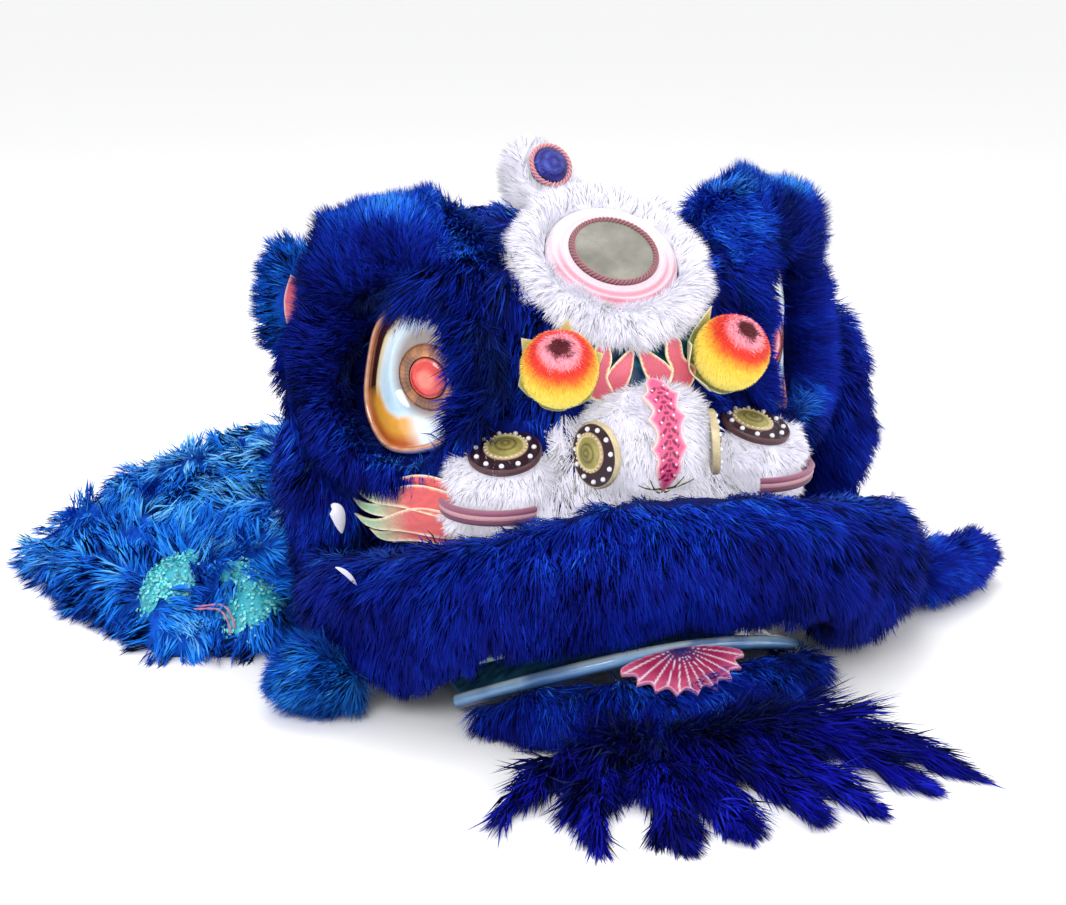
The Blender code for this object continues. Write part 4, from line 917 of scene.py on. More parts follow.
rows = [(0.0005, -0.028), (0.060, -0.028), (0.073, 0.006), (0.0758, 0.014), (0.0766, 0.019), (0.0762, 0.0225)]
rows += [(0.0748, 0.0256)]
for reach in np.linspace(0.0735, 0.0520, 24):
    inward = 0.0735 - reach
    rows.append((reach, 0.0272 + 0.0030 * math.sin(inward / 0.0085 * math.pi) ** 2 + 0.10 * inward))
rows += [(0.0512, 0.0290), (0.0505, 0.0270), (0.0005, 0.0260)]
points, faces, _ = lathe(rows, FOREHEAD, FOREHEAD_AXIS, 120, colour=CREAM)
flat = (points - FOREHEAD) @ frame_towards(FOREHEAD_AXIS)
reach = np.hypot(flat[:, 0], flat[:, 1])
low = soft_step(np.cos(np.arctan2(flat[:, 1], flat[:, 0]) + math.radians(98)), -0.40, 0.35)
streak = 0.6 + 0.4 * wave_noise(points, 0.03, 23, 1)[:, 0]
# Pink on the lower side (low): the pink tint there is painted shade, and the two pink arcs are partly painted
# arcs and partly painted shade under the raised roll; the thin ring by the mirror is painted trim.
colours = layered(
    len(points), (232, 222, 230),
    ((226, 188, 204), 0.40 * low),
    ((206, 84, 116), np.exp(-((reach - 0.0718) / 0.0026) ** 2) * low * streak),
    ((222, 128, 150), np.exp(-((reach - 0.0630) / 0.0030) ** 2) * low * 0.75),
    ((206, 132, 152), np.exp(-((reach - 0.0515) / 0.0010) ** 2) * 0.8),
)
disc = stands_for(made("forehead_pad", felt, [(points, faces, colours)], 60), "forehead_disc")

# Painted ornaments of the nose

ornament_paint = painted("ornament", 0.45, 500, 0.5, 0.0008, 0.3)
pearl_paint = painted("pearls", 0.18, 300, 0.05, 0.0002, 0.06, Coat_Weight=0.6)
PLUM, OLIVE, TAN = srgb(50, 24, 38), srgb(166, 156, 88), srgb(204, 172, 138)
OLIVE_DARK, STRAW = srgb(112, 100, 52), srgb(230, 218, 168)
PLATE = 0.008  # thickness of the disc
FIGURE = [  # radius as a share of the disc's, height over its face and colour
    (0.62, -0.0004, PLUM), (0.60, 0.0014, TAN), (0.55, 0.0024, TAN), (0.50, 0.0018, STRAW),
    (0.46, 0.0014, OLIVE), (0.34, 0.0032, OLIVE), (0.27, 0.0044, OLIVE_DARK), (0.20, 0.0048, OLIVE),
    (0.10, 0.0060, OLIVE_DARK),
]


def ornament(name, centre, axis, radius, edge, shift):
    """A plum disc with a pale edge, a ring of pearls and a gold eye shifted off its middle."""
    centre, edge, turn = np.array(centre), srgb(*edge), frame_towards(axis)
    shift = turn @ np.array([*shift, 0.0]) * radius

    def bead(number, count, share, lift):
        angle = math.tau * number / count
        return turn @ np.array([radius * share * math.cos(angle), radius * share * math.sin(angle),
                                PLATE + lift])

    points, faces, colours = lathe([
        (0.0005, 0.0, PLUM), (radius - 0.001, 0.0, edge), (radius, 0.002, edge), (radius, 0.0062, edge),
        (radius - 0.0015, PLATE, edge), (radius - 0.0030, PLATE - 0.0004, PLUM),
        *[(radius * share, PLATE + lift, colour) for share, lift, colour in FIGURE],
        (0.0005, PLATE + 0.0062, OLIVE),
    ], centre, axis, 60)
    moved = np.linalg.norm(np.cross(points - centre, axis / np.linalg.norm(axis)), axis=1) < radius * 0.63
    moved &= (points - centre) @ turn[:, 2] > PLATE * 0.5
    colours = colours * (0.85 + 0.3 * (0.5 + 0.5 * wave_noise(points, 0.012, 31, 1)))
    studs = [sphere(centre + shift + bead(k, 24, 0.565, 0.0018), 0.0016, STRAW, 6, 4) for k in range(24)]
    pearls = [
        sphere(centre + bead(k + 0.5, 11, 0.79, 0.0004), 0.0030, srgb(236, 236, 244), 10, 6)
        for k in range(11)
    ]
    node = name.replace("ornament", "disc")
    disc_shapes = [(points + np.outer(moved, shift), faces, colours), *studs]
    stands_for(made(name, ornament_paint, disc_shapes, 40), node)
    made(name + "_pearls", pearl_paint, pearls, 80)


for side, sign in SIDES.items():
    ornament("nose_ornament_" + side, (sign * 0.066 + 0.003, -0.286, 0.300), (sign * 0.94, -0.32, 0.08),
             0.037, (206, 190, 150), (sign * 0.16, 0.04))
    ornament("lobe_ornament_" + side, (sign * 0.152, -0.232, 0.292), (sign * 0.16, -0.24, 0.96), 0.041,
             (84, 50, 56), (0.0, 0.13))

# Nose strip

BULB = np.array([0.004, -0.262, 0.306])
BULB_RADIUS, BULB_TALL = 0.058, 0.064


def on_bulb(x, y, lift):
    radius = BULB_RADIUS + lift
    angle = math.radians(14) + y / 0.062
    rise = BULB_TALL / BULB_RADIUS * radius * math.sin(angle)
    return BULB + np.array([x, -radius * math.cos(angle) + 0.10 * x * x, rise])


STRIP = [
    (0.000, 0.076), (0.010, 0.066), (0.014, 0.052), (0.022, 0.046, 1), (0.0165, 0.036), (0.015, 0.028),
    (0.0225, 0.020, 1), (0.0155, 0.010), (0.015, 0.000), (0.0210, -0.010, 1), (0.014, -0.022),
    (0.0145, -0.034), (0.010, -0.046), (0.000, -0.068, 1),
]
STRIP += [(-p[0], *p[1:]) for p in reversed(STRIP[1:-1])]
MARK = [  # the maroon figure: place, half width, half height and lean of each stroke
    (-0.0052, 0.0, 0.0020, 0.0046, 0.7), (0.0052, 0.0, 0.0020, 0.0046, -0.7),
    (0.0, -0.0055, 0.0038, 0.0021, 0.0), (-0.0095, -0.0035, 0.0011, 0.0028, -0.4),
    (0.0095, -0.0035, 0.0011, 0.0028, 0.4), (0.0, 0.0005, 0.0010, 0.0030, 0.0),
]


def strip_colours(x, y, edge):
    layers = [((246, 158, 178), soft_step(edge, 0.005, 0.001))]
    for row in range(9):
        for mx, my, across, tall, lean in MARK:
            u, v = x - mx, y - (0.054 - 0.0118 * row + my)
            u, v = u * math.cos(lean) - v * math.sin(lean), u * math.sin(lean) + v * math.cos(lean)
            layers.append(((122, 18, 58), soft_step(np.hypot(u / across, v / tall), 1.15, 0.75)))
    for k in range(18):
        u, v = x - 0.0078 * (-1) ** k, y - (0.0590 - 0.0062 * k)
        layers.append(((255, 240, 238), soft_step(np.hypot(u, v), 0.0014, 0.0008)))
    return layered(len(x), (228, 84, 134), *layers, ((250, 214, 200), soft_step(edge, 0.0014, 0.0006)))


strip = cut_out(STRIP, on_bulb, strip_colours, 0.0013, 0.005, 0.0006)
stands_for(made("nose_trim", trim_paint, [strip], 45), "nose_strip")

shapes = []
steps = np.linspace(0, 1, 10)
for sign in (-1, 1):
    for k, (reach, drop, colour) in enumerate([
        (0.030, -0.002, (24, 18, 24)), (0.024, 0.005, CREAM), (0.017, 0.011, (24, 18, 24)),
    ]):
        line = [
            on_bulb(sign * (0.003 + reach * t), -0.058 - 0.004 * k + drop * t + 0.012 * t * t, 0.0055)
            for t in steps
        ]
        shapes.append((*tube(line, 0.0012 * (1 - 0.6 * steps), 6), srgb(*colour)))
made("nose_whisker_marks", trim_paint, shapes, 60)

# Leaves above the nose, with the painted panel and scrolls behind them

ABOVE_NOSE = 0.378  # height of the leaves and the panel
FACE_RADIUS = 0.24  # of the head there, for the turn that a width makes


def leaf_colours(top, bottom, low, high, edge_colour=CREAM, width=0.0022, along_y=True):
    """Paint that runs from one display colour to the other, with veins and a coloured edge."""
    def paint(x, y, edge):
        share = soft_step(y if along_y else x, low, high)[:, None]
        colour = srgb(*bottom) * (1 - share) + srgb(*top) * share
        vein = 0.92 + 0.08 * np.cos(edge * 2200)
        return blend_in(colour * vein[:, None], srgb(*edge_colour), soft_step(edge, width, width * 0.55))

    return paint


INNER_LEAF = [
    (0.030, -0.030, 1), (0.014, -0.022), (0.005, -0.004), (0.000, 0.020, 1), (0.016, 0.012), (0.032, -0.002),
    (0.042, -0.022, 1),
]
OUTER_LEAF = [
    (0.028, -0.026), (0.034, -0.008), (0.030, 0.010), (0.036, 0.036, 1), (0.047, 0.020), (0.049, 0.004),
    (0.060, -0.008, 1), (0.056, -0.022), (0.042, -0.034),
]
leaf_paint = leaf_colours((232, 110, 130), (216, 88, 112), -0.02, 0.02)
for side, sign in SIDES.items():

    def place(x, y, lift, sign=sign):
        return head_point((x + 0.003) / FACE_RADIUS, ABOVE_NOSE + y, 0.009 + lift) * np.array([sign, 1, 1])

    leaves = [
        cut_out(INNER_LEAF, place, leaf_paint, 0.0018, 0.003, 0.0012, bow=lambda x, y: 0.22 * x),
        cut_out(OUTER_LEAF, place, leaf_paint, 0.0018, 0.003, 0.0012, bow=lambda x, y: 0.006 + 0.10 * x),
    ]
    stands_for(made("nose_leaves_" + side, trim_paint, leaves, 45), "nose_leaf_" + side)

PANEL = [
    (-0.085, 0.044), (-0.040, 0.052), (0.040, 0.052), (0.085, 0.044), (0.078, 0.010), (0.040, -0.006),
    (0.0, -0.024), (-0.040, -0.006), (-0.078, 0.010),
]
SCROLLS = [(0.012, 0.030, 0.010, 1), (0.034, 0.026, 0.009, -1), (0.056, 0.030, 0.009, 1),
           (0.072, 0.022, 0.007, -1)]


def panel_place(x, y, lift):
    turn = x / FACE_RADIUS
    return head_point(abs(turn), ABOVE_NOSE + y, 0.002 + lift) * np.array([math.copysign(1, turn), 1, 1])


def panel_colours(x, y, edge):
    swirl = 0.5 + 0.5 * np.sin(x * 190 + 3 * np.sin(y * 160))
    return layered(len(x), (12, 52, 92), ((28, 120, 140), soft_step(swirl, 0.35, 0.95) * 0.8))


panel = cut_out(PANEL, panel_place, panel_colours, 0.0040, 0.002, 0.0)
made("brow_panel", trim_paint, [panel], 45)
shapes = []
steps = np.linspace(0, 1, 22)
for sign in (-1, 1):
    for number, (x, y, size, spin) in enumerate(SCROLLS):
        angle = spin * (0.6 + 7.4 * steps)
        reach = size * (1 - 0.78 * steps)
        line = [panel_place(sign * (x + r * math.cos(a)), y + r * math.sin(a), 0.0028)
                for a, r in zip(angle, reach)]
        shapes.append((*tube(line, 0.0011, 5), srgb(214, 236, 232) if number % 2 else srgb(140, 214, 208)))
made("brow_scrolls", trim_paint, shapes, 60)

# Flames beside the nose

TONGUES = [  # start height, reach, rise at the tip, width and wave of each tongue
    (0.019, 0.098, 0.012, 0.0150, 0.006), (0.010, 0.108, 0.008, 0.0140, 0.007),
    (0.000, 0.118, 0.002, 0.0140, 0.008), (-0.010, 0.112, -0.006, 0.0140, 0.007),
    (-0.019, 0.098, -0.012, 0.0130, 0.006),
]
LAYER = 0.0042  # every other tongue lies this much higher
FLAME_START = turn_at(0.186)


def tongue_outline(start, reach, rise, width, wave):
    steps = np.linspace(0, 1, 11)
    x = steps * reach
    y = start + rise * steps**1.3 + wave * np.sin(steps * 6.6 - 0.4) * steps**0.7
    half = width * (1 - 0.92 * steps**3.2) * (0.85 + 0.18 * np.sin(steps * 6.6))
    upper = list(zip(x, y + half))[:-1]
    lower = list(zip(x, y - half))[:-1]
    return upper + [(x[-1], y[-1] + 0.3 * wave, 1)] + lower[::-1]


flame_paint = leaf_colours((178, 230, 182), (228, 92, 94), 0.046, 0.092, (250, 240, 205), 0.0022,
                           along_y=False)
for side, sign in SIDES.items():

    def place(x, y, lift, sign=sign):
        return (head_point(FLAME_START + x / 0.215, 0.222 + y - 0.10 * x, 0.022 + lift)
                * np.array([sign, 1, 1]))

    tongues = [
        cut_out(tongue_outline(*tongue), place, flame_paint, 0.0026, 0.0026, 0.0014,
                bow=lambda x, y, raised=LAYER * (k % 2): raised + 0 * x)
        for k, tongue in enumerate(TONGUES)
    ]
    stands_for(made("flames_" + side, trim_paint, tongues, 45), "flame_" + side)

# Pompoms on their posts, with leaves behind

POMPOM_STOPS = shades(
    (0.000, 84, 2, 22), (0.096, 104, 6, 30), (0.106, 240, 138, 160), (0.150, 252, 178, 196),
    (0.188, 246, 140, 150), (0.208, 234, 58, 40), (0.275, 232, 54, 26), (0.315, 242, 120, 28),
    (0.360, 250, 176, 40), (0.430, 254, 222, 74), (0.620, 255, 238, 110), (1.000, 252, 234, 128),
)
BALL_RADIUS, CUP_RADIUS = 0.0402, 0.047  # of the ball under the plush, and of the cup of leaves
CUP_BEND = 1.05
PETALS, PETAL_TURN = 6, 0.35
# The pompom strands glow a little by emission: painted light.
pompom_strands = strand_material("pompom_strands", 0.85, 0.0, (1, 0.9, 0.8), 0.05)
pompom_pad = painted("pompom_pad", 0.95, 500, 0.5, 0.001, 0.12)
petal_paint = leaf_colours((236, 244, 190), (198, 206, 112), 0.020, 0.060, (252, 250, 216), 0.0020,
                           along_y=False)
for side, sign in SIDES.items():
    centre = np.array([sign * 0.102, -0.266, 0.395])
    turn = frame_towards(unit(np.array([sign * 0.30, -0.84, 0.44])))
    petals = []
    for k in range(PETALS):
        angle = math.tau * k / PETALS - PETAL_TURN * sign
        spin = np.array([[math.cos(angle), -math.sin(angle), 0], [math.sin(angle), math.cos(angle), 0],
                         [0, 0, 1]])

        def place(x, y, lift, turn=turn, spin=spin, centre=centre):
            bend = min(x / CUP_RADIUS, CUP_BEND)
            beyond = max(0, x - CUP_BEND * CUP_RADIUS)
            across = CUP_RADIUS * math.sin(bend) + beyond * math.cos(bend)
            rise = -CUP_RADIUS * math.cos(bend) + beyond * math.sin(bend) + 5 * y * y
            return centre + turn @ (spin @ np.array([across, y, rise + lift - 0.003]))

        tip = 0.066 + 0.014 * (turn @ spin @ np.array([1.0, 0.0, 0.0]))[2]
        petal = [(0.006, 0.006), (0.026, 0.017), (0.046, 0.013), (tip, 0.000, 1)]
        petal += [(0.046, -0.013), (0.026, -0.017), (0.006, -0.006)]
        petals.append(cut_out(petal, place, petal_paint, 0.0022, 0.0025, 0.0010))
    stands_for(made("pompom_leaves_" + side, trim_paint, petals, 45), "pompom_petals_" + side)

    bright = unit(np.array([-0.215 + (0.42 if side == "right" else 0.0), -0.591, 0.777]))
    points, faces, _ = sphere(centre, BALL_RADIUS, CREAM, 44, 26, bright, 0.01)
    reach = np.arccos(np.clip(unit(points - centre) @ bright, -1, 1)) / math.pi
    ball = made("pompom_ball_" + side, pompom_pad, [(points, faces, between_stops(POMPOM_STOPS, reach))], 60)
    stands_for(ball, "pompom_" + side)

    def pompom_shade(roots, normals, bright=bright, centre=centre):
        """The level along the stops: rings round the bright side, the first of them with five lobes."""
        out = unit(roots - centre - HEAD)
        around = frame_towards(bright)
        bearing = np.arctan2(out @ around[:, 1], out @ around[:, 0])
        bend = np.arccos(np.clip(out @ bright, -1, 1)) / math.pi
        bend = bend * (1 + 0.26 * np.cos(5 * bearing) * soft_step(bend, 0.15, 0.10))
        return bend - MIDDLE_SHADE

    grow("pompom_plush_" + side, "pompom_" + side, ball, (0, 11500), 0.0046, 0.0015,
         (POMPOM_STOPS, pompom_strands),
         along((0, 0, -1)), lean=0.55, up=0.65, wander=0.10, frizz=0.12, clump=0.1, clump_size=20,
         seed=150 + sign, droop=0.0, shade_at=pompom_shade, ragged=0.2, soft=1.0, root_shade=0.10, vary=0.12,
         raised=0.6)

# Horn tip

HORN = np.array([-0.006, 0.062, 0.546])
HORN_AXIS = unit(np.array([0.12, -math.cos(math.radians(30)), math.sin(math.radians(30))]))
foot = HORN + HORN_AXIS * 0.034
violet, sky = srgb(40, 32, 140), srgb(70, 84, 190)
points, faces, colours = lathe([
    (0.0005, -0.009, violet), (0.0225, -0.009, violet), (0.0228, 0.002, violet), (0.0205, 0.0075, sky),
    (0.0165, 0.0112, violet), (0.0115, 0.0136, sky), (0.006, 0.0148, violet), (0.0005, 0.0152, sky),
], foot, HORN_AXIS, 48)
facet = 0.5 + 0.5 * wave_noise(points, 0.008, 9, 1)
glitter = painted("horn_glitter", 0.3, 320, 0.9, 0.002, 0.5, Metallic=0.35)
jewel = made("horn_jewel", glitter, [(points, faces, colours * (0.55 + 0.7 * facet))], 60)
stands_for(jewel, "horn_cap")
rope = rope_ring("horn_rope", foot, HORN_AXIS, 0.0254, 0.0028, 0.0036, (236, 170, 166), (176, 88, 116),
                 30, 180)
stands_for(rope, "horn_ring")

# Ear linings

LINING = [(0.0, 0.052, 1), (0.017, 0.026), (0.023, -0.008), (0.012, -0.040)]
LINING += [(-x, y) for x, y in reversed(LINING[1:])]
lining_paint = leaf_colours((214, 86, 110), (236, 140, 150), -0.03, 0.04, (240, 190, 190), 0.002)
for side, sign in SIDES.items():
    centre = np.array([sign * 0.300, 0.070, 0.396])
    turn = frame_towards((sign * 0.30, -0.94, 0.10), (sign * 0.28, 0.10, 1.0))

    def place(x, y, lift, centre=centre, turn=turn):
        return centre + turn @ np.array([x, y, 0.020 + lift - 6 * x * x])

    lining = cut_out(LINING, place, lining_paint, 0.0026, 0.006, 0.001)
    stands_for(made("ear_lining_" + side, felt, [lining], 60), "ear_inner_" + side)

# Jaw trim

JAW_HALF, JAW_FRONT, JAW_CORNER = 0.208, -0.352, -0.245
JAW_RIM, RIM_PAINT = 0.0075, 0.0086  # radius of the rim as packed, and of the lacquer round it
RIM_SIDES = 12
FAN_LEAN = math.radians(22)


def jaw_edge(share):
    """How far ahead the jaw's edge is, at a share of its half width."""
    return JAW_FRONT + (JAW_CORNER - JAW_FRONT) * abs(share) ** 2.4


line = []
for share in np.linspace(-1, 1, 97):
    slope = np.array([JAW_HALF * 0.04, jaw_edge(share + 0.02) - jaw_edge(share - 0.02)])
    out = unit(np.array([slope[1], -slope[0]])) * JAW_RIM * 1.3
    line.append((JAW_HALF * share + out[0], jaw_edge(share) + out[1],
                 0.094 - 0.077 * abs(share) ** 2.2 - 0.002))
points, faces = tube(line, RIM_PAINT, RIM_SIDES)
angles = np.tile(np.arange(RIM_SIDES) * math.tau / RIM_SIDES, len(line))
# Blue, pale along the rim's top as a painted highlight, dark along its underside as painted shade, and
# mottled.
colours = layered(
    len(points), (120, 168, 214),
    ((222, 236, 244), soft_step(np.cos(angles - 1.9), 0.2, 0.9)),
    ((34, 64, 120), soft_step(np.cos(angles + 1.2), 0.3, 0.9)),
    ((60, 104, 168), soft_step(wave_noise(points, 0.05, 43, 1)[:, 0], 0.1, 0.8) * 0.7),
)
lacquer = painted("lacquer", 0.12, 90, 0.08, 0.0006, 0.12, Coat_Weight=0.8, Coat_Roughness=0.06)
stands_for(made("jaw_lip_rim", lacquer, [(points, faces, colours)], 60, body="jaw"), "jaw_rim")


def fan_place(x, y, lift):
    ahead = y * math.cos(FAN_LEAN) - lift * math.sin(FAN_LEAN)
    rise = y * math.sin(FAN_LEAN) + lift * math.cos(FAN_LEAN)
    return np.array([x, -0.368 + ahead, 0.094 + rise])


def fan_colours(x, y, edge):
    bearing, reach = np.arctan2(-y, x), np.hypot(x / 0.078, y / 0.062)
    ray = soft_step(np.cos(bearing * 26), 0.80, 0.97) * soft_step(reach, 0.10, 0.25)
    return layered(
        len(x), (158, 34, 82),
        ((34, 44, 110), soft_step(reach, 0.45, 0.1)),
        ((208, 88, 128), soft_step(reach, 0.6, 0.95)),
        ((236, 226, 244), ray * 0.9),
        ((222, 150, 182), soft_step(edge, 0.0018, 0.0008)),
    )


fan = [(0.0, 0.0)]
for k in range(19):
    angle = math.radians(8) + math.radians(164) * k / 18
    reach, corner = (1.0, (1,)) if k % 2 else (0.86, ())
    fan.append((0.076 * reach * math.cos(angle), -0.060 * reach * math.sin(angle), *corner))
fan = cut_out(fan, fan_place, fan_colours, 0.0018, 0.004, 0.0010, bow=lambda x, y: -1.6 * x * x - 3 * y * y)
stands_for(made("jaw_petal_fan", trim_paint, [fan], 45, body="jaw"), "jaw_petals")

# Carried-over solids with better finishes


def refinish(name, material):
    materials = nodes[name].data.materials
    for number in range(len(materials)):
        materials[number] = material
    if not len(materials):
        materials.append(material)


refinish("head_shell", mottled(
    "shell_lacquer", (5, 14, 84), (10, 30, 128), 40, 0.9, 0.4, 0.002, Specular_IOR_Level=0.1))
refinish("jaw_board", mottled(
    "jaw_lacquer", (26, 74, 120), (70, 140, 176), 22, 0.25, 0.15, 0.001, (1, 5, 5), Coat_Weight=0.5))
refinish("mouth_rim", mottled(
    "mouth_rim_lacquer", (84, 128, 134), (168, 200, 186), 34, 0.2, 0.15, 0.001, (1, 4, 4), Coat_Weight=0.6))
for side in SIDES:
    refinish("pompom_post_" + side, mottled(
        "post_wrap_" + side, (64, 60, 22), (140, 132, 60), 260, 0.6, 0.5, 0.0008, (0.3, 1, 1)))

# Fur of the head

coat_blue, coat_azure, coat_royal = (
    mottled(name + "_undercoat", dark, light, 60, 0.95, 0.6, 0.003, Specular_IOR_Level=0.1)
    for name, dark, light in (
        ("blue", (6, 10, 55), (12, 26, 104)),
        ("azure", (6, 36, 124), (14, 84, 196)),
        ("royal", (5, 6, 60), (10, 14, 120)),
    )
)
coat_white = mottled("white_undercoat", (226, 226, 240), (248, 248, 253), 90, 0.95, 0.4, 0.001)
blue_strands = strand_material("blue_strands")
# The white strands glow by emission: painted light that brightens them.
white_strands = strand_material("white_strands", 0.8, 0.0, (1, 1, 1), 0.34)
NAVY, AZURE, ROYAL = ((palette, blue_strands) for palette in (NAVY_FUR, AZURE_FUR, ROYAL_FUR))
WHITE = (WHITE_FUR, white_strands)
DENSE = dict(wander=0.26, frizz=0.11, clump=0.24, clump_size=22, vary=0.75, soft=0.75)
PLUSH = dict(soft=0.95, root_shade=0.2)
FINE_PLUSH = dict(PLUSH, wander=0.2, frizz=0.1, clump=0.25)
FRINGE = {"left": 0.064, "right": 0.042}  # length over the eye


def lip_roots(points, facing):
    """All of the lip but its lower side over the mouth."""
    local = points - HEAD
    over_mouth = (abs(local[:, 0]) < 0.215) & (local[:, 2] < 0.125) & (facing[:, 2] < -0.45)
    return outer(-0.8)(points, facing) * ~over_mouth


def lip_taper(roots):
    """Shorter low down on the lip's outer ends."""
    return 1 - 0.62 * soft_step(roots[:, 2], 0.14, 0.09) * soft_step(abs(roots[:, 0] - HEAD[0]), 0.25, 0.20)


furred("lip", "lip_fur", (coat_blue, 0.016, 4, 0.012, 0.005, 0.07, 3), (34000, 44000), 0.037, 0.0017, NAVY,
       along((0, -0.15, -1)), lean=0.80, up=0.58, seed=11, keep=lip_roots,
       shade_at=lit_from_above(0.42, -0.08), taper=lip_taper, **DENSE)

for side, sign in SIDES.items():

    def brow_comb(roots, normals, sign=sign):
        """Away from the eye, and down over it on the nose side."""
        local = roots - HEAD
        eye = np.array([sign * 0.222, -0.05, 0.345])
        away = unit(local - eye)
        over_eye = unit(np.array([sign * 0.75, -0.35, -0.75]))
        share = (soft_step(abs(local[:, 0]), 0.205, 0.165) * soft_step(local[:, 2], 0.25, 0.29))[:, None]
        return unit(away * (1 - share) + over_eye * share)

    def fringe_roots(points, facing, sign=sign):
        """The roll on the nose side of the eye."""
        local = points - HEAD
        x, z = sign * local[:, 0], local[:, 2]
        inner = 0.172 + 0.036 * soft_step(z, 0.37, 0.43)
        roll = (x > 0.108) & (x < inner) & (z > 0.285) & (z < 0.495)
        return (roll & (facing[:, 1] < 0.35) & (local[:, 1] < -0.09)).astype(float)

    def fringe_comb(roots, normals, sign=sign):
        """Out over the eye, and steeper above it."""
        share = soft_step(roots[:, 2], 0.36, 0.45)[:, None]
        level, steep = np.array([sign * 0.95, -0.42, -0.10]), np.array([sign * 0.78, -0.42, -0.58])
        return unit(level * (1 - share) + steep * share)

    coat = furred(
        "brow", "brow_fur", (coat_blue, 0.012, 4, 0.011, 0.004, 0.06, 4), (17000, 23000), 0.035, 0.0016, NAVY,
        brow_comb, side=side, lean=0.6, seed=21 + sign, keep=outer(-0.45),
        shade_at=lit_from_above(0.62, 0.07), clear=[scene_objects["eye_" + side]], clear_by=0.002,
        spread=0.014, **DENSE,
    )
    grow("brow_fringe_" + side, "brow_fur_" + side, coat, (9500, 2500), FRINGE[side], 0.0018, NAVY,
         fringe_comb, lean=1.25, up=0.40, wander=0.2, clump=0.25, clump_size=26, seed=26 + sign,
         keep=fringe_roots, droop=0.12, ragged=0.25, soft=0.75, vary=0.75,
         taper=lambda roots: 1 + 0.16 * soft_step(roots[:, 2], 0.36, 0.42))
    furred("cheek", "cheek_fur", (coat_blue, 0.013, 3, 0.010, 0.005, 0.06, 5), (8000, 11000), 0.038,
           0.0017, NAVY,
           along((sign * 0.5, -0.2, -0.9)), side=side, clump=0.35, seed=31 + sign, keep=outer(-0.3),
           shade_at=lit_from_above(0.35, 0.05), soft=0.7)
    material, look = (coat_azure, AZURE) if side == "left" else (coat_blue, NAVY)
    furred("ear", "ear", (material, 0.008, 4, 0.008, 0.003, 0.04, 6), (4000, 6000), 0.028, 0.0014, AZURE,
           away_from((sign * 0.27, 0.08, 0.37)), side=side, lean=0.6, seed=41 + sign,
           shade_at=lambda roots, normals: -0.12, clear=[scene_objects["ear_lining_" + side]])
    furred("tuft", "tuft", (material, 0.009, 4, 0.008, 0.004, 0.04, 7), (4500, 6000), 0.034, 0.0016, look,
           along((sign, -0.1, -0.15)), side=side, lean=0.8, up=0.6, seed=51 + sign, keep=outer(-1.0))

furred("back", "back_fur", (coat_blue, 0.018, 3, 0.006, 0.004, 0.07, 8), (12000, 10000), 0.042, 0.0028, NAVY,
       along((0, 0.3, -1)), lean=0.8, up=0.5, clump=0.35, seed=61, keep=outer(0.0),
       shade_at=lit_from_above(0.3))


def muzzle(points):
    """The white part of the face, from the nose out to its lobes."""
    local = points - HEAD
    across = abs(local[:, 0])
    return ((across < 0.185) & (local[:, 2] > 0.215) & (local[:, 2] < 0.350 - 0.38 * across)
            & (local[:, 1] < -0.12))


def on_muzzle(points, facing):
    return (muzzle(points) & (facing[:, 1] < -0.2)).astype(float)


def on_shell(points, facing):
    """The outside of the shell above the lip and behind it, off the painted panel and the white muzzle."""
    local = points - HEAD
    out = (unit(local - np.array([0.0, 0.0, 0.25])) * facing).sum(axis=1) > 0.2
    off_panel = ((abs(local[:, 0]) > 0.078) | (local[:, 2] < 0.345) | (local[:, 2] > 0.45)
                 | (local[:, 1] > 0.0))
    high = (local[:, 2] > 0.13) | (local[:, 1] > -0.10) & (local[:, 2] > 0.02)
    return (out & off_panel & high & ~muzzle(points)).astype(float)


flats = [scene_objects[name + side] for name in ("nose_leaves_", "eye_") for side in SIDES]
ornaments = [scene_objects[name + side] for name in ("nose_ornament_", "lobe_ornament_") for side in SIDES]

# Fur of the jaw


def beard_comb(roots, normals):
    """Outward from a place behind the jaw, nearly level."""
    flat = roots - (HEAD + np.array([0.0, -0.20, 0.0]))
    flat[:, 2] = -0.02
    return unit(flat)


furred("jaw", "jaw_fur", (coat_blue, 0.012, 3, 0.009, 0.004, 0.05, 9), (12000, 15000), 0.036, 0.0016, NAVY,
       along((0, -0.5, -0.8)), body="jaw", lean=0.8, up=0.55, seed=71, keep=outer(-1.0),
       # Painted light: jaw strands that face up are lighter.
       shade_at=lambda roots, normals: -0.05 + 0.2 * normals[:, 2],
       clear=[scene_objects["jaw_petal_fan"]], clear_by=0.002, spread=0.012)
furred("beard", "beard", (coat_royal, 0.007, 2, 0.002, 0.002, 0.04, 10), (18000, 6000), 0.074, 0.0022, ROYAL,
       beard_comb, body="jaw", lean=1.0, up=0.24, wander=0.22, frizz=0.10, clump=0.6, clump_size=60, seed=81,
       keep=outer(-1.0), droop=0.12,
       taper=lambda roots: 1 - 0.62 * soft_step(roots[:, 1] - HEAD[1], -0.54, -0.61))

# The body's cloth heap

# x, y and radius of the glitter patches
PATCHES = [(-0.477, 0.086, 0.034), (-0.398, 0.012, 0.040), (-0.505, 0.074, 0.020), (-0.365, 0.210, 0.022)]
PATCH_BARE = 0.62  # of a patch's radius, without strands
ABOVE_HEAP = 0.6
heap = undercoat("cloth_heap", "body_cloth", coat_azure, 0.014, 2, 0.008, 0.018, 0.085, 11)
heap_skin = skin_of([heap])


def on_heap(x, y):
    """The heap straight below a place in the scene, from the head's middle, and its normal there."""
    hit, normal = heap_skin.ray_cast(Vector((x, y, ABOVE_HEAP)), Vector((0, 0, -1)))[:2]
    return (np.array(hit) - HEAD, np.array(normal)) if hit else (None, None)


def off_patches(points, facing):
    local = points - HEAD
    clear = np.ones(len(points))
    for x, y, radius in PATCHES:
        clear *= np.hypot(local[:, 0] - x, local[:, 1] - y) > radius * PATCH_BARE
    return clear * outer(-1.0)(points, facing)


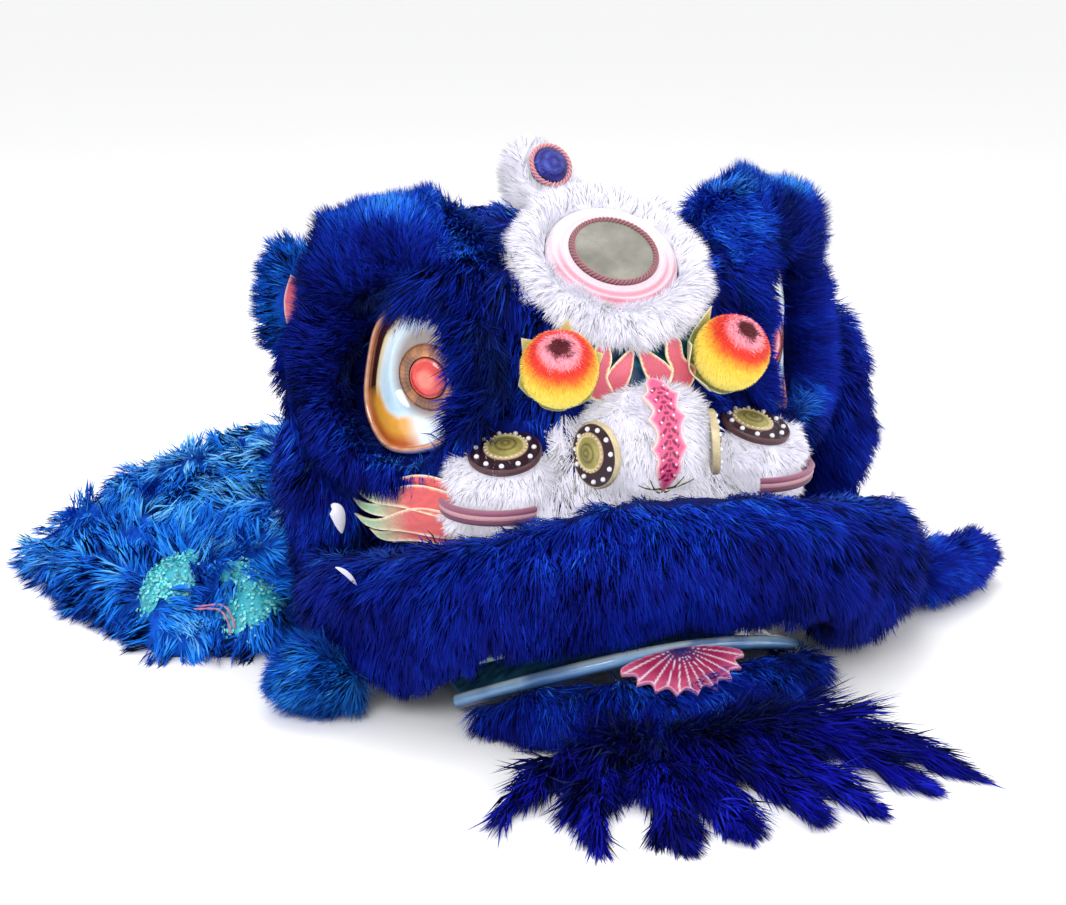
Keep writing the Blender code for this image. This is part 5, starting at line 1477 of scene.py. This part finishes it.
def heap_comb(roots, normals):
    """In swirls, and outward near the floor."""
    swirl = wave_noise(roots, 0.16, 91)
    swirl[:, 2] -= 0.25
    edge = soft_step(roots[:, 2], 0.075, 0.030)[:, None]
    outward = normals * np.array([1.0, 1.0, 0.0]) + np.array([0.0, 0.0, -0.35])
    return unit(swirl * (1 - edge) + outward * edge)


def heap_shade(roots, normals):
    """Painted light and shade: lighter on top and on the crests, darker in the hollows between."""
    return (0.45 * (np.clip(normals[:, 2], 0, 1) ** 2 - 0.25)
            + 0.20 * wave_noise(roots, 0.085, 11, 1)[:, 0] - 0.02)


grow("cloth_strands", "body_cloth", heap, (29000, 20000), 0.038, 0.0026, AZURE, heap_comb, lean=0.75, up=0.55,
     wander=0.5, clump=0.55, clump_size=45, seed=92, keep=off_patches, shade_at=heap_shade, soft=0.75,
     root_shade=0.4, vary=0.9, raised=0.4)

# White plush

furred("forehead", "forehead_fur", (coat_white, 0.007, 3, 0.001, 0.002, 0.03, 12), (8500, 10000), 0.024,
       0.0014, WHITE, away_from(FOREHEAD), lean=0.85, up=0.45, seed=101, keep=outer(-0.7), droop=0.05,
       clear=[disc], clear_by=0.0005, spread=0.006, raised=0.3, **FINE_PLUSH)
coat = furred(
    "nose", "nose_fur", (coat_white, 0.006, 4, 0.005, 0.002, 0.03, 13), (4500, 8000), 0.018, 0.0012, WHITE,
    along((0, 0, -1)), lean=0.5, up=0.8, seed=111, keep=outer(-0.5), droop=0.1, raised=0.4,
    clear=[*ornaments, scene_objects["nose_trim"]], clear_by=0.003, spread=0.010, **FINE_PLUSH,
)
grow("muzzle_strands", None, nodes["head_shell"], (5000, 6000), 0.030, 0.0014, WHITE, along((0, -0.2, -1)),
     lean=0.5, up=0.8, seed=115, keep=on_muzzle, raised=0.4, clear=[*flats, *ornaments], clear_by=0.010,
     **FINE_PLUSH)
furred("horn", "horn_fur", (coat_white, 0.007, 4, 0.006, 0.002, 0.03, 14), (2800, 5500), 0.021, 0.0013, WHITE,
       along((0, 0.2, 1)), lean=0.3, up=0.9, wander=0.25, seed=121, keep=outer(-0.7), droop=0.05, raised=0.3,
       clear=[scene_objects["horn_rope"]], clear_by=0.004, **PLUSH)
for side, sign in SIDES.items():
    coat = furred(
        "lobe", "nose_lobe", (coat_white, 0.007, 4, 0.005, 0.002, 0.03, 15), (3000, 5500), 0.020, 0.0012,
        WHITE, along((sign * 0.4, -0.2, -0.8)), side=side, lean=0.6, up=0.75, seed=131 + sign,
        keep=outer(-0.5), droop=0.1, clear=ornaments, clear_by=0.003, spread=0.010, raised=0.5, **FINE_PLUSH,
    )
    furred("wing", "nostril_wing", (coat_white, 0.006, 3, 0.004, 0.001, 0.03, 16), (1200, 2000), 0.017,
           0.0012, WHITE,
           along((sign * 0.8, -0.1, -0.4)), side=side, up=0.6, wander=0.25, seed=141 + sign, droop=0.1,
           raised=0.5, **PLUSH)

# Fur on what the other pieces leave bare of the shell


def near_flames(roots):
    """Shorter where the flames lie over it."""
    local = roots - HEAD
    beside = soft_step(abs(local[:, 0]), 0.165, 0.185) * soft_step(abs(local[:, 2] - 0.222), 0.050, 0.030)
    return 1 - 0.6 * (beside * (local[:, 1] < 0.0))


over = [obj for obj in scene_objects
        if "_undercoat" in obj.name or obj.name.startswith(("eye_", "forehead_pad"))]
grow("shell_strands", None, nodes["head_shell"], (34000, 20000), 0.032, 0.0020, NAVY, along((0, 0.05, -1)),
     lean=0.65, up=0.65, seed=65, keep=on_shell, clear=[*flats, *ornaments], clear_by=0.008, bare_of=over,
     taper=near_flames, shade_at=lit_from_above(0.25), soft=0.7)

# Teal glitter patches on the heap

ROUND_SHARE = 0.78  # of the square a round patch is cut from
RINGS, SPOKES = 7, 26
CLOTH_LIFT, CLOTH_THICK, SEQUIN_LIFT, BRAID_LIFT = 0.0035, 0.0012, 0.0050, 0.016
SEQUIN_DENSITY, FEWEST_SEQUINS = 130000, 40  # for each radius squared, and in any patch
SEQUIN = [(0.0004, 0.0), (0.0022, 0.0002), (0.0004, 0.0007)]
BRAID_SAG = 0.008
glitter_cloth = painted("glitter_cloth", 0.3, 600, 0.8, 0.001, 0.4, Metallic=0.15)
for number, (x, y, radius) in enumerate(PATCHES):
    rng = np.random.default_rng(200 + number)
    across, ahead = HEAD[0] + x, HEAD[1] + y
    points = []
    for k in range(RINGS + 1):
        for j in range(SPOKES):
            angle = math.tau * j / SPOKES
            wavy = 1 + 0.18 * math.sin(3 * angle + number) + 0.08 * math.sin(7 * angle)
            reach = radius * max(k / RINGS, 0.02) * wavy
            point, _ = on_heap(across + reach * math.cos(angle), ahead + reach * math.sin(angle))
            points.append(points[-SPOKES] if point is None else point + np.array([0, 0, CLOTH_LIFT]))
    top = np.array(points)
    under = (top - np.array([0, 0, CLOTH_THICK])).reshape(RINGS + 1, SPOKES, 3)[::-1].reshape(-1, 3)
    faces = rings_to_faces(2 * (RINGS + 1), SPOKES, False)
    patch = (np.concatenate([top, under]), faces, srgb(62, 186, 206))
    cloth = made(f"glitter_cloth_{number}", glitter_cloth, [patch], 80)
    corners = top[np.array(faces[:RINGS * SPOKES])]
    spans = corners[:, 1:] - corners[:, :1]
    area = 0.5 * np.linalg.norm(np.cross(spans[:, :2], spans[:, 1:]), axis=-1).sum()
    side = round(math.sqrt(area / ROUND_SHARE), 3)
    sequins = []
    for _ in range(int(SEQUIN_DENSITY * radius * radius) + FEWEST_SEQUINS):
        angle, reach = rng.uniform(0, math.tau), radius * 0.95 * math.sqrt(rng.uniform())
        point, normal = on_heap(across + reach * math.cos(angle), ahead + reach * math.sin(angle))
        if point is None:
            continue
        axis = unit(normal + rng.normal(size=3) * 0.35)
        # Random brightness, and a whitish boost for a few: painted glints and reflections of the sequins.
        shade = np.minimum(srgb(84, 220, 226) * rng.uniform(0.5, 1.25) + 0.30 * rng.uniform() ** 3, 1)
        sequins.append(lathe(SEQUIN, point + normal * SEQUIN_LIFT, axis, 6, colour=shade))
    made(f"glitter_sequins_{number}", glitter_cloth, sequins, 20)

# Small trim on the fur: a pink braid on the heap, white felt tabs and the band under each lobe

shapes = []
for start, end in (((-0.462, 0.030), (-0.425, -0.020)), ((-0.458, 0.034), (-0.420, -0.017))):
    start, end = np.array(start), np.array(end)
    line = []
    for share in np.linspace(0, 1, 26):
        x, y = start + (end - start) * share + BRAID_SAG * math.sin(math.pi * share)
        point, _ = on_heap(HEAD[0] + x, HEAD[1] + y)
        if point is not None:
            line.append(point + np.array([0.0, 0.0, BRAID_LIFT]))
    shapes.append((*tube(line, 0.0013, 6, lobes=2, twist=0.7), srgb(188, 120, 160)))
made("heap_braid", rope_paint, shapes, 60)

TABS = [  # both ends, rise of the middle and radius
    ((-0.322, -0.118, 0.216), (-0.312, -0.124, 0.184), 0.010, 0.0085),
    ((-0.345, -0.226, 0.185), (-0.321, -0.224, 0.159), 0.004, 0.0030),
    ((-0.260, -0.152, 0.176), (-0.232, -0.160, 0.172), 0.005, 0.0034),
    ((0.329, -0.250, 0.197), (0.335, -0.246, 0.188), 0.004, 0.0036),
]
shapes = []
shares = np.linspace(0, 1, 12)
for start, end, rise, wide in TABS:
    start, end = np.array(start), np.array(end)
    line = [start + (end - start) * t + np.array([0, -0.4, 1.0]) * rise * math.sin(math.pi * t)
            for t in shares]
    radii = wide * np.maximum(np.sin(math.pi * shares) ** 0.6, 0.12)
    shapes.append((*tube(line, radii, 8, up=(0, 1, 0.3), squash=0.45), srgb(226, 224, 236)))
made("felt_tabs", felt, shapes, 60)

angles = np.linspace(math.radians(-20), math.radians(95), 22)
for side, sign in SIDES.items():
    shapes = []
    for row, colour in enumerate(((150, 84, 112), (206, 150, 160), (110, 56, 84))):
        middle = np.array([0.158, -0.228, 0.246 - 0.0060 * row])
        wide, deep = 0.066 - 0.001 * row, 0.060 - 0.001 * row
        arc = [np.array([wide * math.sin(a), -deep * math.cos(a), 0.0]) for a in angles]
        line = [(middle + point) * np.array([sign, 1, 1]) for point in arc]
        shapes.append((*tube(line, 0.0034, 6), srgb(*colour)))
    made("lobe_band_" + side, rope_paint, shapes, 60)

# Floor, lights and camera

floor_mesh = bpy.data.meshes.new("floor")
floor_mesh.from_pydata([(-60, -30, 0), (60, -30, 0), (60, 80, 0), (-60, 80, 0)], [], [(0, 1, 2, 3)])
floor = link(bpy.data.objects.new("floor", floor_mesh))
floor_material, _, shader = new_material("floor", 0.6)
shader.inputs["Base Color"].default_value = (0.92, 0.92, 0.93, 1.0)
floor_mesh.materials.append(floor_material)

world = bpy.data.worlds.new("studio")
bpy.context.scene.world = world
world.use_nodes = True
background = world.node_tree.nodes["Background"]
background.inputs["Color"].default_value = (1.0, 1.0, 1.0, 1.0)
background.inputs["Strength"].default_value = 1.0


def area_light(name, place, size, power):
    data = bpy.data.lights.new(name, "AREA")
    data.size = size
    data.energy = power
    lamp = link(bpy.data.objects.new(name, data))
    lamp.location = place
    lamp.rotation_euler = (Vector(CAMERA_TARGET) - Vector(place)).to_track_quat("-Z", "Y").to_euler()
    return lamp


area_light("key", (-1.6, -2.2, 2.4), 1.6, 60)
area_light("fill", (2.2, -2.0, 1.4), 2.0, 25)
area_light("top", (0.2, 0.6, 2.8), 1.8, 30).visible_glossy = False

turn, rise = math.radians(CAMERA_TURN), math.radians(CAMERA_RISE)
back = Vector((math.sin(turn) * math.cos(rise), -math.cos(turn) * math.cos(rise), math.sin(rise)))
camera = link(bpy.data.objects.new("camera", bpy.data.cameras.new("camera")))
camera.data.lens = CAMERA_LENS
camera.data.sensor_width = SENSOR_WIDTH
camera.data.clip_start = 0.05
camera.location = Vector(CAMERA_TARGET) + back * CAMERA_DISTANCE
camera.rotation_euler = (-back).to_track_quat("-Z", "Y").to_euler()
bpy.context.scene.camera = camera
bpy.context.scene.view_settings.view_transform = "Standard"
